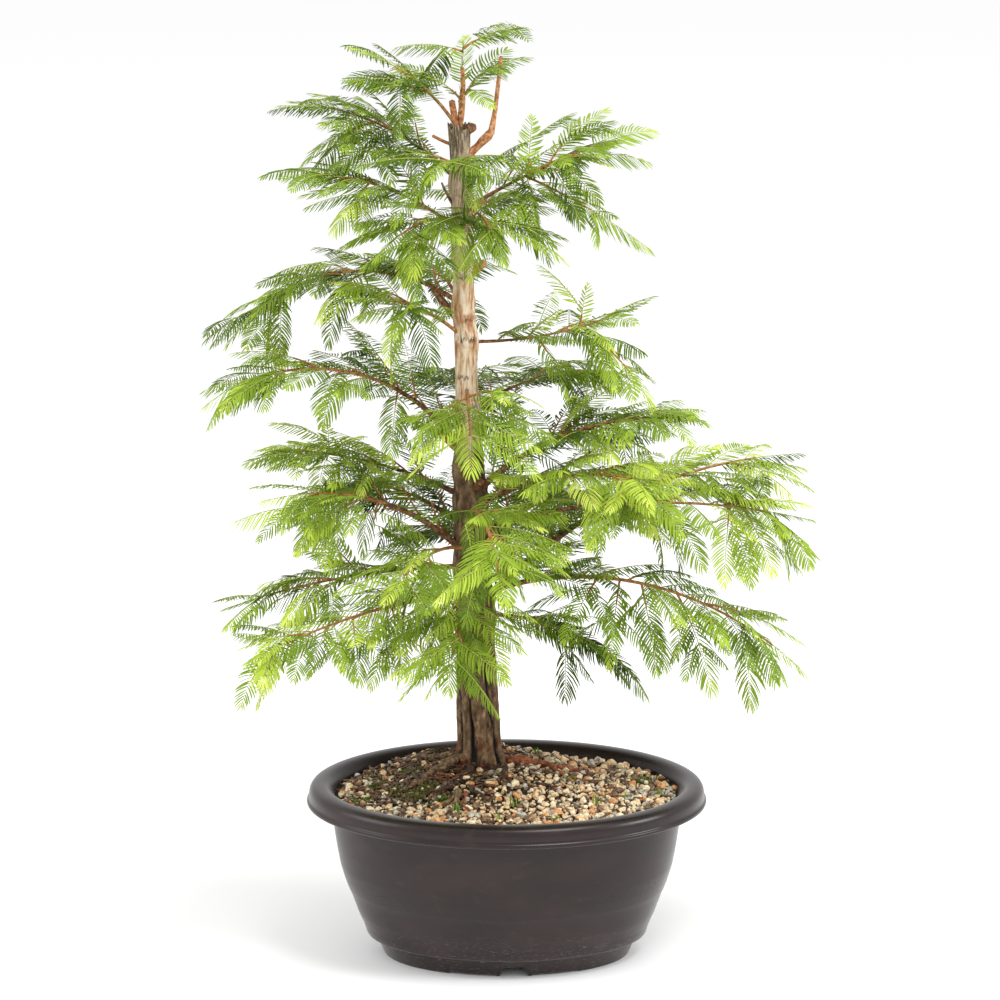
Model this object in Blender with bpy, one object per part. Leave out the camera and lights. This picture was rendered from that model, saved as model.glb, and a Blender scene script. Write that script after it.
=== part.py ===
"""A dawn redwood bonsai in its oval training pot.

Metres, +Z up, the origin on the table under the middle of the pot, the front at -Y.
The trunk stands a little behind the middle on a low mound of gravel, leans to -X and
was cut off flat near its top. Every limb leaves the trunk as one tapering bough and
carries one mass of foliage: a leafy stem with fronds along it and side shoots, each
frond a toothed blade that stands for a feather of needles.
"""

import math
import random
from collections import namedtuple

import bmesh
import bpy
from mathutils import Matrix, Vector
from mathutils.bvhtree import BVHTree

GAP = 0.0003  # between any two pieces that meet
POT_CREASE = 30  # degrees, the sharpest edge shaded smooth
BARK_CREASE = 50

# ---- Pot: each ring is an oval, 30 mm shorter from the middle to the front than to the side
POT_OVAL = 0.030
POT_SEGMENTS = 30
RIM_HALF_WIDTH = 0.127
RIM_TOP = 0.1135
WALL = 0.0025
FLOOR_TOP = 0.0155
RECESS = 0.0122  # the underside is raised by this inside the foot ring
FOOT_HALF_WIDTH = 0.0784
FOOT_RING = 0.007
# Half width and height down the outside, from the crest of the rolled lip, over its bead, to the foot
POT_OUTSIDE = (
    (0.1180, RIM_TOP),
    (0.1236, 0.1121),
    (0.1255, 0.1085),
    (0.1257, 0.1035),
    (RIM_HALF_WIDTH, 0.1022),
    (0.1264, 0.1005),
    (0.1118, 0.1003),
    (0.1098, 0.0850),
    (0.1060, 0.0610),
    (0.1000, 0.0430),
    (0.0980, 0.0370),
    (0.0920, 0.0230),
    (0.0893, 0.0140),
    (0.0836, 0.0126),
    (FOOT_HALF_WIDTH, 0.0),
)
WALL_TOP_HALF_WIDTH = 0.1118  # the lip stands out from here
LIP_INNER = (WALL_TOP_HALF_WIDTH, 0.1110)
INSIDE_LEVELS = (0.0850, 0.0610, 0.0370, 0.0190)
FLOOR_ROUND = 0.004
RECESS_DRAFT = 0.0015
# Drain notches through the foot ring, front and back, with a long shallow arch on each side
Notch = namedtuple("Notch", "x width top_width height")
NOTCHES = (
    Notch(0.0045, 0.018, 0.013, 0.006),
    Notch(-0.0215, 0.030, 0.029, 0.001),
    Notch(0.0305, 0.030, 0.029, 0.001),
)
NOTCH_MARGIN = 0.003  # how far a cutter runs past what it cuts

# ---- Soil
SOIL_EDGE = 0.1070
MOUND_TOP = 0.1170
MOUND_FLAT = 0.023  # level out to here from the trunk, down to the edge's height by the reach
MOUND_REACH = 0.078
MOUND_RINGS = (0.74, 0.52, 0.34, 0.17)  # shares of the way from the trunk to the wall

# ---- Trunk
TRUNK_X, TRUNK_Y = -0.0164, 0.0290
TRUNK_LEAN = -0.0131  # how far the cut top stands to -X of the foot
LEAN_CURVE = 0.8
TRUNK_FOOT = MOUND_TOP + GAP
TRUNK_TOP = 0.5290
TRUNK_SIDES = 12
TRUNK_RINGS = 17
# Height and radius: buttressed foot, stout lower half, thin bare leader, swollen old cut
TRUNK_TAPER = (
    (TRUNK_FOOT, 0.0165),
    (0.128, 0.0138),
    (0.165, 0.0126),
    (0.225, 0.0113),
    (0.277, 0.0101),
    (0.309, 0.0089),
    (0.342, 0.0073),
    (0.370, 0.0065),
    (0.460, 0.0060),
    (0.505, 0.0058),
    (TRUNK_TOP, 0.0067),
)
FLUTES = 5
FLUTE_TURN = 2.0
FLUTE_DEPTH = 0.13  # of the radius at the foot, fading out by FLUTE_FADE
FLUTE_FADE = 0.30
RING_CROWDING = 1.35  # the rings stand closer towards the foot

# ---- Surface roots: azimuth, length, radius where it leaves the flare
Root = namedtuple("Root", "azimuth length radius")
ROOT_STEPS = 4
ROOT_SIDES = 5
ROOT_START = 0.010  # from the trunk's axis, inside the flare
ROOT_BEND = 0.006
ROOT_LIFT = 0.004  # its axis above the soil where it leaves the flare
ROOT_TIP = 0.0009
ROOTS = (
    Root(-12, 0.058, 0.0034),
    Root(-62, 0.034, 0.0030),
    Root(-112, 0.040, 0.0036),
    Root(-146, 0.052, 0.0032),
    Root(165, 0.040, 0.0030),
    Root(78, 0.036, 0.0034),
)

# ---- Foliage
FROND_LENGTH = 0.058
FROND_HALF_WIDTH = 0.0150
BLADE_THICKNESS = 0.0010
FROND_PITCH = 0.025  # along a shoot, left and right by turns
FROND_SPREAD = 52  # degrees off the shoot
FROND_DROOP = 34
TWIG_RADIUS = 0.0011
TWIG_TIP = 0.0009
TWIG_SIDES = 3
TWIG_STEPS = 2
STEM_STEPS = 3
STEM_END = 0.98
SHOOT_STEPS = 8
FROND_STEPS = 4
SHOOT_FOOT = 0.004  # no frond nearer to a shoot's foot
BARE_FOOT = 0.016  # nor this near to the trunk
LONE_FROND = 0.066  # a side shoot no longer than this is one frond
SHORT_FROND = 0.053
FROND_ROLL = 24  # degrees, either way about its own length
END_ROLL = 18
WIDTH_POWER = 0.6  # how a frond's width follows its length
SWINGS = (0, 12, -12, 24, -24)  # degrees, tried in turn
ROOT_SHARE = 0.35  # fronds of one mass may meet this near their roots
FROND_FOOT = 0.004  # an end frond's root runs back this far into its shoot
SUNK = 0.0020  # a stem's foot lies this deep in what carries it
CLEAR = 0.0006  # what a new frond keeps from the limbs and from the other masses

# A limb leaves the trunk at a height and an azimuth (0 is +X, 90 is +Y, degrees). Its
# rise is the slope of its chord, and it droops by so many degrees on its way. The bough
# is the bare length; foliage takes the rest, with side shoots that leave at a share of
# the whole limb.
Limb = namedtuple("Limb", "name height azimuth rise droop length bare radius shoots")
Shoot = namedtuple("Shoot", "share azimuth rise droop length")


def limb(name, height, azimuth, rise, droop, length, bare, radius, *shoots):
    return Limb(name, height, azimuth, rise, droop, length, bare, radius,
                [Shoot(*shoot) for shoot in shoots])


LIMBS = (
    # Left side, from the lowest limb up
    limb("low_left", 0.229, 216, -6, 24, 0.172, 0.060, 0.0019,
         (0.36, 285, -50, 20, 0.046), (0.36, 305, -24, 30, 0.054), (0.54, 288, -66, 16, 0.040),
         (0.64, 250, -34, 30, 0.038), (0.74, 196, -8, 26, 0.042)),
    limb("thin_left", 0.247, 188, -8, 20, 0.160, 0.074, 0.0015,
         (0.52, 218, -32, 30, 0.044), (0.56, 158, -12, 30, 0.050)),
    limb("left_lower", 0.250, 193, 19, 64, 0.150, 0.066, 0.0024,
         (0.50, 264, -36, 30, 0.060), (0.56, 222, -26, 40, 0.062), (0.50, 150, 4, 40, 0.052),
         (0.76, 240, -20, 40, 0.045)),
    limb("left_middle", 0.290, 163, 9, 30, 0.148, 0.048, 0.0019,
         (0.42, 205, 18, 40, 0.050), (0.50, 250, -6, 40, 0.055), (0.66, 270, 60, 10, 0.024),
         (0.64, 214, -4, 40, 0.048), (0.60, 122, -4, 40, 0.050)),
    limb("left_upper", 0.311, 186, 15, 104, 0.196, 0.066, 0.0022,
         (0.36, 172, 50, 30, 0.046), (0.35, 266, -34, 30, 0.058), (0.54, 256, -16, 40, 0.056),
         (0.62, 168, 8, 40, 0.056), (0.70, 218, -18, 40, 0.054), (0.46, 138, 0, 40, 0.052)),
    limb("far_left", 0.414, 166, -8, 88, 0.160, 0.054, 0.0015,
         (0.40, 232, -24, 50, 0.058), (0.52, 202, -14, 44, 0.060), (0.66, 218, -26, 40, 0.050),
         (0.86, 184, -30, 30, 0.048), (0.84, 200, -82, 8, 0.036), (0.50, 124, -4, 40, 0.050)),
    limb("left_high", 0.393, 215, 22, 44, 0.094, 0.0, 0.0014,
         (0.45, 254, -8, 50, 0.052), (0.50, 172, 16, 40, 0.052)),
    limb("top_left", 0.460, 195, 20, 46, 0.122, 0.034, 0.0014,
         (0.45, 238, -10, 40, 0.050), (0.50, 160, 4, 40, 0.054), (0.56, 214, -46, 20, 0.038)),
    limb("crown_left", 0.491, 163, 23, 44, 0.122, 0.044, 0.0014,
         (0.45, 192, 26, 36, 0.056), (0.55, 206, -26, 40, 0.056), (0.42, 236, -24, 40, 0.044),
         (0.42, 118, 6, 40, 0.048)),
    limb("crown_fan", 0.524, 184, 38, 44, 0.086, 0.0, 0.0012,
         (0.34, 212, 6, 40, 0.046), (0.34, 150, 14, 40, 0.042)),
    # Right side, from the lowest limb up
    limb("low_inner_right", 0.215, 18, -24, 44, 0.116, 0.0, 0.0014,
         (0.34, 56, -12, 30, 0.054), (0.38, 344, -46, 20, 0.050)),
    limb("right_low", 0.227, 346, -10, 70, 0.232, 0.078, 0.0021,
         (0.36, 236, -40, 20, 0.052), (0.48, 284, -54, 20, 0.060), (0.58, 316, -62, 20, 0.066),
         (0.66, 350, -20, 30, 0.066), (0.44, 40, -6, 40, 0.054), (0.42, 254, -64, 16, 0.056)),
    limb("right_rising", 0.216, 8, 25, 48, 0.238, 0.088, 0.0027,
         (0.46, 316, 0, 44, 0.060), (0.46, 52, 12, 40, 0.060), (0.66, 332, -6, 44, 0.064),
         (0.58, 20, 26, 40, 0.054), (0.80, 334, -20, 44, 0.048)),
    limb("right_tip", 0.271, 350, 4, 30, 0.219, 0.066, 0.0021,
         (0.36, 318, -10, 40, 0.056), (0.58, 28, 4, 40, 0.056), (0.76, 262, -46, 30, 0.056),
         (0.80, 300, -46, 20, 0.048), (0.85, 342, -36, 24, 0.044), (0.74, 16, -6, 40, 0.048)),
    limb("right_mid", 0.284, 322, 13, 40, 0.166, 0.060, 0.0020,
         (0.42, 350, 24, 40, 0.056), (0.50, 286, -6, 50, 0.054), (0.62, 354, 6, 44, 0.060),
         (0.70, 300, -16, 40, 0.048)),
    limb("right_upper", 0.291, 343, 22, 52, 0.166, 0.064, 0.0023,
         (0.44, 330, 52, 40, 0.046), (0.50, 296, -6, 44, 0.056), (0.44, 34, 14, 44, 0.054),
         (0.64, 320, 0, 44, 0.052), (0.46, 252, 0, 40, 0.040), (0.70, 10, 2, 40, 0.046)),
    limb("right_thin", 0.392, 352, 14, -28, 0.118, 0.036, 0.0012,
         (0.32, 20, 36, 20, 0.028), (0.62, 60, 70, 10, 0.027), (0.64, 338, -50, 34, 0.086),
         (0.56, 314, -20, 44, 0.044), (0.50, 44, 0, 40, 0.048), (0.38, 312, -50, 34, 0.044)),
    limb("crown_right", 0.474, 344, 26, 14, 0.118, 0.042, 0.0015,
         (0.38, 280, -40, 30, 0.042), (0.40, 345, -28, 14, 0.090), (0.42, 84, 50, 30, 0.042),
         (0.50, 330, 12, 34, 0.050), (0.54, 26, 38, 40, 0.052), (0.66, 322, -6, 30, 0.034)),
    # Leader
    limb("leader", 0.526, 0, 87, 0, 0.052, 0.0, 0.0013,
         (0.30, 352, 34, 60, 0.052), (0.34, 200, 30, 40, 0.034), (0.94, 0, 18, 36, 0.042),
         (0.90, 176, 8, 30, 0.022)),
    # In front of the trunk
    limb("front_low", 0.245, 263, -22, 44, 0.128, 0.0, 0.0016,
         (0.34, 298, -36, 34, 0.068), (0.36, 240, -36, 34, 0.068), (0.60, 284, -40, 30, 0.050)),
    limb("front_low_left", 0.257, 245, -2, 50, 0.128, 0.0, 0.0015,
         (0.36, 216, -8, 40, 0.054), (0.50, 276, -26, 40, 0.050)),
    limb("front_mid", 0.281, 277, -4, 50, 0.178, 0.0, 0.0017,
         (0.30, 314, 0, 44, 0.056), (0.34, 244, -14, 44, 0.052), (0.56, 306, -24, 40, 0.052),
         (0.60, 250, -24, 40, 0.050)),
    limb("front_centre", 0.361, 272, -18, 54, 0.104, 0.0, 0.0013,
         (0.26, 236, -24, 44, 0.064), (0.26, 314, 4, 44, 0.066)),
    limb("front_top", 0.497, 256, 6, 60, 0.074, 0.0, 0.0012,
         (0.30, 206, 6, 44, 0.048), (0.32, 322, -6, 50, 0.046)),
    limb("front_high_left", 0.468, 238, -6, 46, 0.098, 0.0, 0.0013,
         (0.34, 210, -10, 40, 0.048), (0.46, 264, -30, 40, 0.050)),
    limb("front_high_right", 0.474, 288, -12, 60, 0.090, 0.0, 0.0013,
         (0.36, 302, -30, 40, 0.036), (0.36, 250, -32, 40, 0.046)),
    # Behind the trunk
    limb("back_low", 0.238, 98, 4, 50, 0.110, 0.036, 0.0021,
         (0.40, 60, -8, 40, 0.054), (0.42, 138, -8, 40, 0.054)),
    limb("back_low_left", 0.268, 142, 6, 50, 0.126, 0.046, 0.0019,
         (0.42, 182, -6, 40, 0.056), (0.46, 104, -8, 40, 0.054), (0.64, 160, -22, 40, 0.052)),
    limb("back_low_right", 0.254, 47, 8, 50, 0.134, 0.050, 0.0021,
         (0.42, 16, 4, 40, 0.056), (0.46, 84, -6, 40, 0.054), (0.64, 30, -20, 40, 0.052)),
    limb("back_mid", 0.330, 92, 12, 52, 0.110, 0.036, 0.0018,
         (0.40, 52, 2, 40, 0.054), (0.44, 134, 0, 40, 0.054)),
    limb("back_mid_right", 0.345, 30, 8, 46, 0.116, 0.034, 0.0015,
         (0.42, 350, 6, 40, 0.052), (0.46, 66, 2, 40, 0.052)),
    limb("back_high", 0.408, 110, 12, 50, 0.098, 0.0, 0.0014,
         (0.34, 72, 6, 40, 0.052), (0.40, 148, 4, 40, 0.052)),
    limb("back_crown", 0.462, 66, 10, 50, 0.078, 0.0, 0.0013,
         (0.32, 36, 4, 40, 0.044), (0.36, 116, 8, 40, 0.048)),
)
# The old leader, cut and bare, that turns straight up beside the trunk's top
BARE_LEADER = limb("bare_leader", 0.505, 2, 70, -60, 0.072, 0.072, 0.0019)
BARE_TIP_RADIUS = 0.0014

# ---- Colours and finish: base colour, roughness
BARK = ((0.205, 0.130, 0.080), 0.85)
BOUGH_BARK = ((0.150, 0.085, 0.050), 0.80)
FOLIAGE = ((0.250, 0.370, 0.055), 0.60)
PLASTIC = ((0.052, 0.042, 0.040), 0.50)
GRAVEL = ((0.300, 0.215, 0.130), 0.95)


# ------------------------------------------------------------------ mesh helpers
def material(name, finish):
    colour, roughness = finish
    made = bpy.data.materials.new(name)
    made.use_nodes = True
    shader = made.node_tree.nodes["Principled BSDF"]
    shader.inputs["Base Color"].default_value = (*colour, 1.0)
    shader.inputs["Roughness"].default_value = roughness
    shader.inputs["Metallic"].default_value = 0.0
    made.diffuse_color = (*colour, 1.0)
    return made


def new_object(name, verts, faces, finish=None):
    """A mesh object of closed surfaces, its faces turned outwards."""
    mesh = bpy.data.meshes.new(name)
    mesh.from_pydata([tuple(v) for v in verts], [], faces)
    body = bmesh.new()
    body.from_mesh(mesh)
    bmesh.ops.recalc_face_normals(body, faces=body.faces)
    if body.calc_volume(signed=True) < 0:
        bmesh.ops.reverse_faces(body, faces=body.faces)
    body.to_mesh(mesh)
    body.free()
    made = bpy.data.objects.new(name, mesh)
    bpy.context.collection.objects.link(made)
    if finish:
        mesh.materials.append(material(name, finish))
    return made


def loft(rings):
    """Vertices and faces of a closed skin over rings of as many points each."""
    count = len(rings[0])
    verts = [point for ring in rings for point in ring]
    faces = [tuple(reversed(range(count)))]
    for low in range(0, count * (len(rings) - 1), count):
        for i in range(count):
            j = (i + 1) % count
            faces.append((low + i, low + j, low + count + j, low + count + i))
    faces.append(tuple(range(len(verts) - count, len(verts))))
    return verts, faces


def joined(base, others, operation="UNION"):
    """Base with the others joined to it, or cut from it, by one Boolean on their collection."""
    if not others:
        return base
    tools = bpy.data.collections.new("tools")
    bpy.context.scene.collection.children.link(tools)
    for other in others:
        for home in list(other.users_collection):
            home.objects.unlink(other)
        tools.objects.link(other)
    for solver in ("EXACT", "MANIFOLD"):
        boolean = base.modifiers.new("join", "BOOLEAN")
        boolean.operand_type = "COLLECTION"
        boolean.collection = tools
        boolean.operation = operation
        boolean.solver = solver
        graph = bpy.context.evaluated_depsgraph_get()
        result = bpy.data.meshes.new_from_object(base.evaluated_get(graph))
        base.modifiers.clear()
        if closed(result):
            break
    base.data = result
    for other in others:
        bpy.data.objects.remove(other)
    bpy.data.collections.remove(tools)
    return base


def closed(mesh):
    """Whether each edge of the mesh has exactly two faces."""
    uses = {}
    for face in mesh.polygons:
        for edge in face.edge_keys:
            uses[edge] = uses.get(edge, 0) + 1
    return bool(uses) and all(count == 2 for count in uses.values())


def keep_largest(thing):
    """Drops loose scraps and the walls of sealed hollows: only the outer skin stays."""
    body = bmesh.new()
    body.from_mesh(thing.data)
    left = set(body.verts)
    shells = []
    while left:
        edge = [left.pop()]
        shell = list(edge)
        while edge:
            vert = edge.pop()
            for link in vert.link_edges:
                other = link.other_vert(vert)
                if other in left:
                    left.discard(other)
                    shell.append(other)
                    edge.append(other)
        shells.append(shell)
    shells.sort(key=len)
    scraps = [vert for shell in shells[:-1] for vert in shell]
    bmesh.ops.delete(body, geom=scraps, context="VERTS")
    body.to_mesh(thing.data)
    body.free()
    return thing


def smooth(thing, crease):
    """Shades the object smooth, with edges kept sharp from the crease angle on."""
    thing.data.shade_smooth()
    thing.data.set_sharp_from_angle(angle=math.radians(crease))
    return thing


def surface(thing):
    """The object's skin, for touch tests."""
    points = [vert.co for vert in thing.data.vertices]
    return BVHTree.FromPolygons(points, [tuple(face.vertices) for face in thing.data.polygons])


# ------------------------------------------------------------------ pot and soil
def oval(half_width, height):
    """One ring of the pot."""
    half_depth = half_width - POT_OVAL
    turns = [2 * math.pi * i / POT_SEGMENTS for i in range(POT_SEGMENTS)]
    return [Vector((half_width * math.cos(t), half_depth * math.sin(t), height)) for t in turns]


def inner_half_width(height):
    """The pot's inside at a height: its outside less the wall."""
    levels = [(z, a) for a, z in POT_OUTSIDE if a <= WALL_TOP_HALF_WIDTH]
    return interpolate(sorted(levels), height) - WALL


def interpolate(pairs, at):
    """The value at a place between (place, value) pairs in rising order."""
    for (low, a), (high, b) in zip(pairs, pairs[1:]):
        if at <= high:
            return a + (b - a) * max(at - low, 0) / (high - low)
    return pairs[-1][1]


def notch_cutters(notch):
    """Two wedges through the foot ring, front and back, narrower at their top."""
    front = FOOT_HALF_WIDTH - POT_OVAL
    cutters = []
    for side in (-1, 1):
        rings = []
        for y in (front + FOOT_RING, front - FOOT_RING - NOTCH_MARGIN):
            profile = ((-notch.width, -NOTCH_MARGIN), (notch.width, -NOTCH_MARGIN),
                       (notch.top_width, notch.height), (-notch.top_width, notch.height))
            rings.append([(notch.x + x / 2, side * y, z) for x, z in profile])
        cutters.append(new_object("notch", *loft(rings)))
    return cutters


def make_pot():
    rings = [oval(FOOT_HALF_WIDTH - FOOT_RING - RECESS_DRAFT, RECESS)]
    rings.append(oval(FOOT_HALF_WIDTH - FOOT_RING, 0.0))
    rings += [oval(a, z) for a, z in reversed(POT_OUTSIDE)]
    rings.append(oval(*LIP_INNER))
    rings += [oval(inner_half_width(height), height) for height in INSIDE_LEVELS]
    rings.append(oval(inner_half_width(INSIDE_LEVELS[-1]) - FLOOR_ROUND, FLOOR_TOP))
    pot = new_object("pot", *loft(rings), PLASTIC)
    cutters = [cutter for notch in NOTCHES for cutter in notch_cutters(notch)]
    return smooth(joined(pot, cutters, "DIFFERENCE"), POT_CREASE)


def soil_height(x, y):
    """The gravel's top: level at the rim, mounded round the trunk."""
    away = math.hypot(x - TRUNK_X, y - TRUNK_Y)
    share = min(max((away - MOUND_FLAT) / (MOUND_REACH - MOUND_FLAT), 0), 1)
    fall = share * share * (3 - 2 * share)
    return MOUND_TOP - (MOUND_TOP - SOIL_EDGE) * fall


def soil_rings(lift=0.0):
    """The soil's skin from the pot's floor up the wall and in over the mound."""
    rings = []
    floor = inner_half_width(INSIDE_LEVELS[-1]) - FLOOR_ROUND - 2 * GAP
    rings.append(oval(floor, FLOOR_TOP + GAP + lift))
    for height in (*reversed(INSIDE_LEVELS), SOIL_EDGE):
        rings.append(oval(inner_half_width(height) - GAP, height + lift))
    edge = rings[-1]
    foot = Vector((TRUNK_X, TRUNK_Y, 0))
    for share in MOUND_RINGS:
        ring = [foot.lerp(point, share) for point in edge]
        for point in ring:
            point.z = soil_height(point.x, point.y) + lift
        rings.append(ring)
    return rings


def make_soil():
    soil = new_object("soil", *loft(soil_rings()), GRAVEL)
    soil.data.shade_smooth()
    return soil


# ------------------------------------------------------------------ limbs
def heading(azimuth, rise):
    a, e = math.radians(azimuth), math.radians(rise)
    return Vector((math.cos(a) * math.cos(e), math.sin(a) * math.cos(e), math.sin(e)))


def angles(direction):
    """Azimuth and rise of a direction, in degrees."""
    flat = math.hypot(direction.x, direction.y)
    return (math.degrees(math.atan2(direction.y, direction.x)),
            math.degrees(math.atan2(direction.z, flat)))


def arc(foot, azimuth, rise, droop, length, steps):
    """Points along a limb that sinks evenly by droop degrees, its chord at rise."""
    points = [foot.copy()]
    for i in range(steps):
        slope = rise + droop * (0.5 - (i + 0.5) / steps)
        points.append(points[-1] + heading(azimuth, slope) * (length / steps))
    return points


def along(points, share):
    """The place and the direction at a share of an evenly stepped line."""
    at = min(max(share, 0.0), 1.0) * (len(points) - 1)
    i = min(int(at), len(points) - 2)
    step = points[i + 1] - points[i]
    return points[i] + step * (at - i), step.normalized()


def stretch(points, start, end, steps):
    """The part of a line between two shares, as evenly stepped points."""
    return [along(points, start + (end - start) * i / steps)[0] for i in range(steps + 1)]


def tube(points, radii, sides):
    """Rings for a skin round a line, turned as little as possible from one to the next."""
    side = None
    rings = []
    for i, point in enumerate(points):
        ahead = points[min(i + 1, len(points) - 1)] - points[max(i - 1, 0)]
        ahead.normalize()
        reference = side if side else ahead.orthogonal()
        side = (reference - ahead * reference.dot(ahead)).normalized()
        other = ahead.cross(side)
        turns = [2 * math.pi * k / sides for k in range(sides)]
        rings.append([point + (side * math.cos(t) + other * math.sin(t)) * radii[i] for t in turns])
    return rings


def tapered(length, first, last):
    return [first + (last - first) * i / (length - 1) for i in range(length)]


# ------------------------------------------------------------------ trunk
def trunk_axis(height):
    rise = max(height - TRUNK_FOOT, 0) / (TRUNK_TOP - TRUNK_FOOT)
    return Vector((TRUNK_X + TRUNK_LEAN * rise ** LEAN_CURVE, TRUNK_Y, height))


def trunk_rings(grow=0.0):
    rings = []
    for i in range(TRUNK_RINGS):
        share = i / (TRUNK_RINGS - 1)
        height = TRUNK_FOOT + (TRUNK_TOP - TRUNK_FOOT) * share ** RING_CROWDING
        radius = interpolate(TRUNK_TAPER, height)
        depth = FLUTE_DEPTH * max(0, 1 - (height - TRUNK_FOOT) / FLUTE_FADE)
        centre = trunk_axis(height)
        ring = []
        for k in range(TRUNK_SIDES):
            turn = 2 * math.pi * k / TRUNK_SIDES
            bulge = radius * (1 + depth * math.cos(FLUTES * turn + FLUTE_TURN + share)) + grow
            ring.append(centre + Vector((math.cos(turn), math.sin(turn), 0)) * bulge)
        rings.append(ring)
    if grow:
        for point in rings[-1]:
            point.z += grow
    return rings


def root_line(root):
    """A surface root: out of the flare and down the mound, half sunk in it."""
    points = []
    foot = Vector((TRUNK_X, TRUNK_Y, 0))
    out, aside = heading(root.azimuth, 0), heading(root.azimuth + 90, 0)
    for i in range(ROOT_STEPS + 1):
        share = i / ROOT_STEPS
        bend = ROOT_BEND * share * math.sin(3 * share + root.azimuth)
        place = foot + out * (ROOT_START + root.length * share) + aside * bend
        place.z = soil_height(place.x, place.y) + ROOT_LIFT * (1 - share) ** 2
        points.append(place)
    return points


def make_trunk():
    trunk = new_object("trunk", *loft(trunk_rings()), BARK)
    roots = []
    for root in ROOTS:
        radii = tapered(ROOT_STEPS + 1, root.radius, ROOT_TIP)
        roots.append(new_object("root", *loft(tube(root_line(root), radii, ROOT_SIDES))))
    trunk = joined(trunk, roots)
    ground = new_object("ground", *loft(soil_rings(GAP)))
    return smooth(keep_largest(joined(trunk, [ground], "DIFFERENCE")), BARK_CREASE)


# ------------------------------------------------------------------ boughs
LIMB_STEPS = 24
BOUGH_SIDES = 5
BOUGH_STEPS = 5
BOUGH_TAPER = 0.62  # its end, for its foot
COLLAR_SWELL = 1.9  # where it leaves the trunk
COLLAR_STEPS = 3
STEM_SHARE = 0.52  # a stem's radius for its bough's


def limb_line(spec):
    return arc(trunk_axis(spec.height), spec.azimuth, spec.rise, spec.droop, spec.length, LIMB_STEPS)


def bough_radii(spec, count):
    """From the branch collar at the trunk to the size of the stem it carries."""
    tip = BARE_TIP_RADIUS if spec is BARE_LEADER else BOUGH_TAPER * spec.radius
    radii = tapered(count, spec.radius, tip)
    radii[0] = radii[1] * COLLAR_SWELL
    return radii


def make_bough(spec):
    """One tapering limb, cut clear of the trunk that carries it."""
    line = limb_line(spec)
    points = stretch(line, 0.0, spec.bare / spec.length, BOUGH_STEPS)
    radii = bough_radii(spec, BOUGH_STEPS + 1)
    bough = new_object("bough_" + spec.name, *loft(tube(points, radii, BOUGH_SIDES)), BOUGH_BARK)
    collar = new_object("collar", *loft(trunk_rings(GAP)))
    return smooth(keep_largest(joined(bough, [collar], "DIFFERENCE")), BARK_CREASE)


def bough_collar(spec):
    """The bough again, a gap larger all round, to cut its stem clear of it."""
    line = limb_line(spec)
    bare, end = spec.bare / spec.length, (spec.bare + GAP) / spec.length
    points = stretch(line, bare / 2, end, COLLAR_STEPS)
    radii = tapered(COLLAR_STEPS + 1, spec.radius + GAP, BOUGH_TAPER * spec.radius + GAP)
    return new_object("collar", *loft(tube(points, radii, BOUGH_SIDES)))


# ------------------------------------------------------------------ foliage
# Each barb of a blade: its root on the rib, its tip, and the notch beyond it, as shares
# of the frond's length, with the tip and the notch out at shares of its half width
Barb = namedtuple("Barb", "root tip out notch notch_out")
LONG_BARBS = (
    Barb(0.27, 0.45, 0.96, 0.36, 0.26),
    Barb(0.55, 0.73, 0.84, 0.63, 0.24),
)
SHORT_BARBS = (Barb(0.42, 0.60, 0.98, 0.52, 0.26),)
LAST_BARB = Barb(0.76, 0.92, 0.48, 1.0, 0.0)
LONG_CHORD = 0.0553  # a frond this long from end to end has the finer teeth
BLADE_ROOT = 0.0004  # half width at its root, on the middle of its twig
BARB_SAG = 0.18  # how far a barb's tip hangs for its reach


def blade(line, normal, half_width, clear=0.0):
    """A frond: a ridged blade, toothed and sharp along its edge, the teeth swept forward."""
    long = (line[-1] - line[0]).length > LONG_CHORD
    barbs = LONG_BARBS if long else SHORT_BARBS
    verts = []

    def place(share, aside, up):
        point, ahead = along(line, share)
        side = normal.cross(ahead).normalized()
        face = ahead.cross(side)
        verts.append(point + side * aside + face * (up - BARB_SAG * abs(aside)))
        return len(verts) - 1

    reach = half_width + clear
    root = BLADE_ROOT + clear
    rib = [place(0.0, 0.0, root)]
    rib += [place(barb.root, 0.0, BLADE_THICKNESS + clear) for barb in (*barbs, LAST_BARB)]
    edges = []
    for hand in (-1, 1):
        edge = [place(0.0, hand * root, -root / 2)]
        for barb in barbs:
            edge.append(place(barb.tip, hand * barb.out * reach, -clear))
            edge.append(place(barb.notch, hand * barb.notch_out * reach, -clear))
        edge.append(place(LAST_BARB.tip, hand * LAST_BARB.out * reach, -clear))
        edges.append(edge)
    apex = place(1.0, 0.0, -clear)
    left, right = edges
    faces = [(left[0], right[0], rib[0]), (left[-2], right[-2], apex)]
    for i in range(len(barbs)):
        low, high = 2 * i, 2 * i + 2
        faces += [(left[low], right[low], right[high]), (left[low], right[high], left[high])]
        for edge in edges:
            before, tip, notch = edge[low:high + 1]
            faces += [(rib[i], before, rib[i + 1]), (rib[i + 1], before, tip),
                      (rib[i + 1], tip, notch), (before, tip, notch)]
    for edge in edges:
        faces += [(rib[-2], edge[-2], rib[-1]), (rib[-1], edge[-2], edge[-1]),
                  (rib[-1], edge[-1], apex), (edge[-2], edge[-1], apex)]
    return verts, faces


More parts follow.
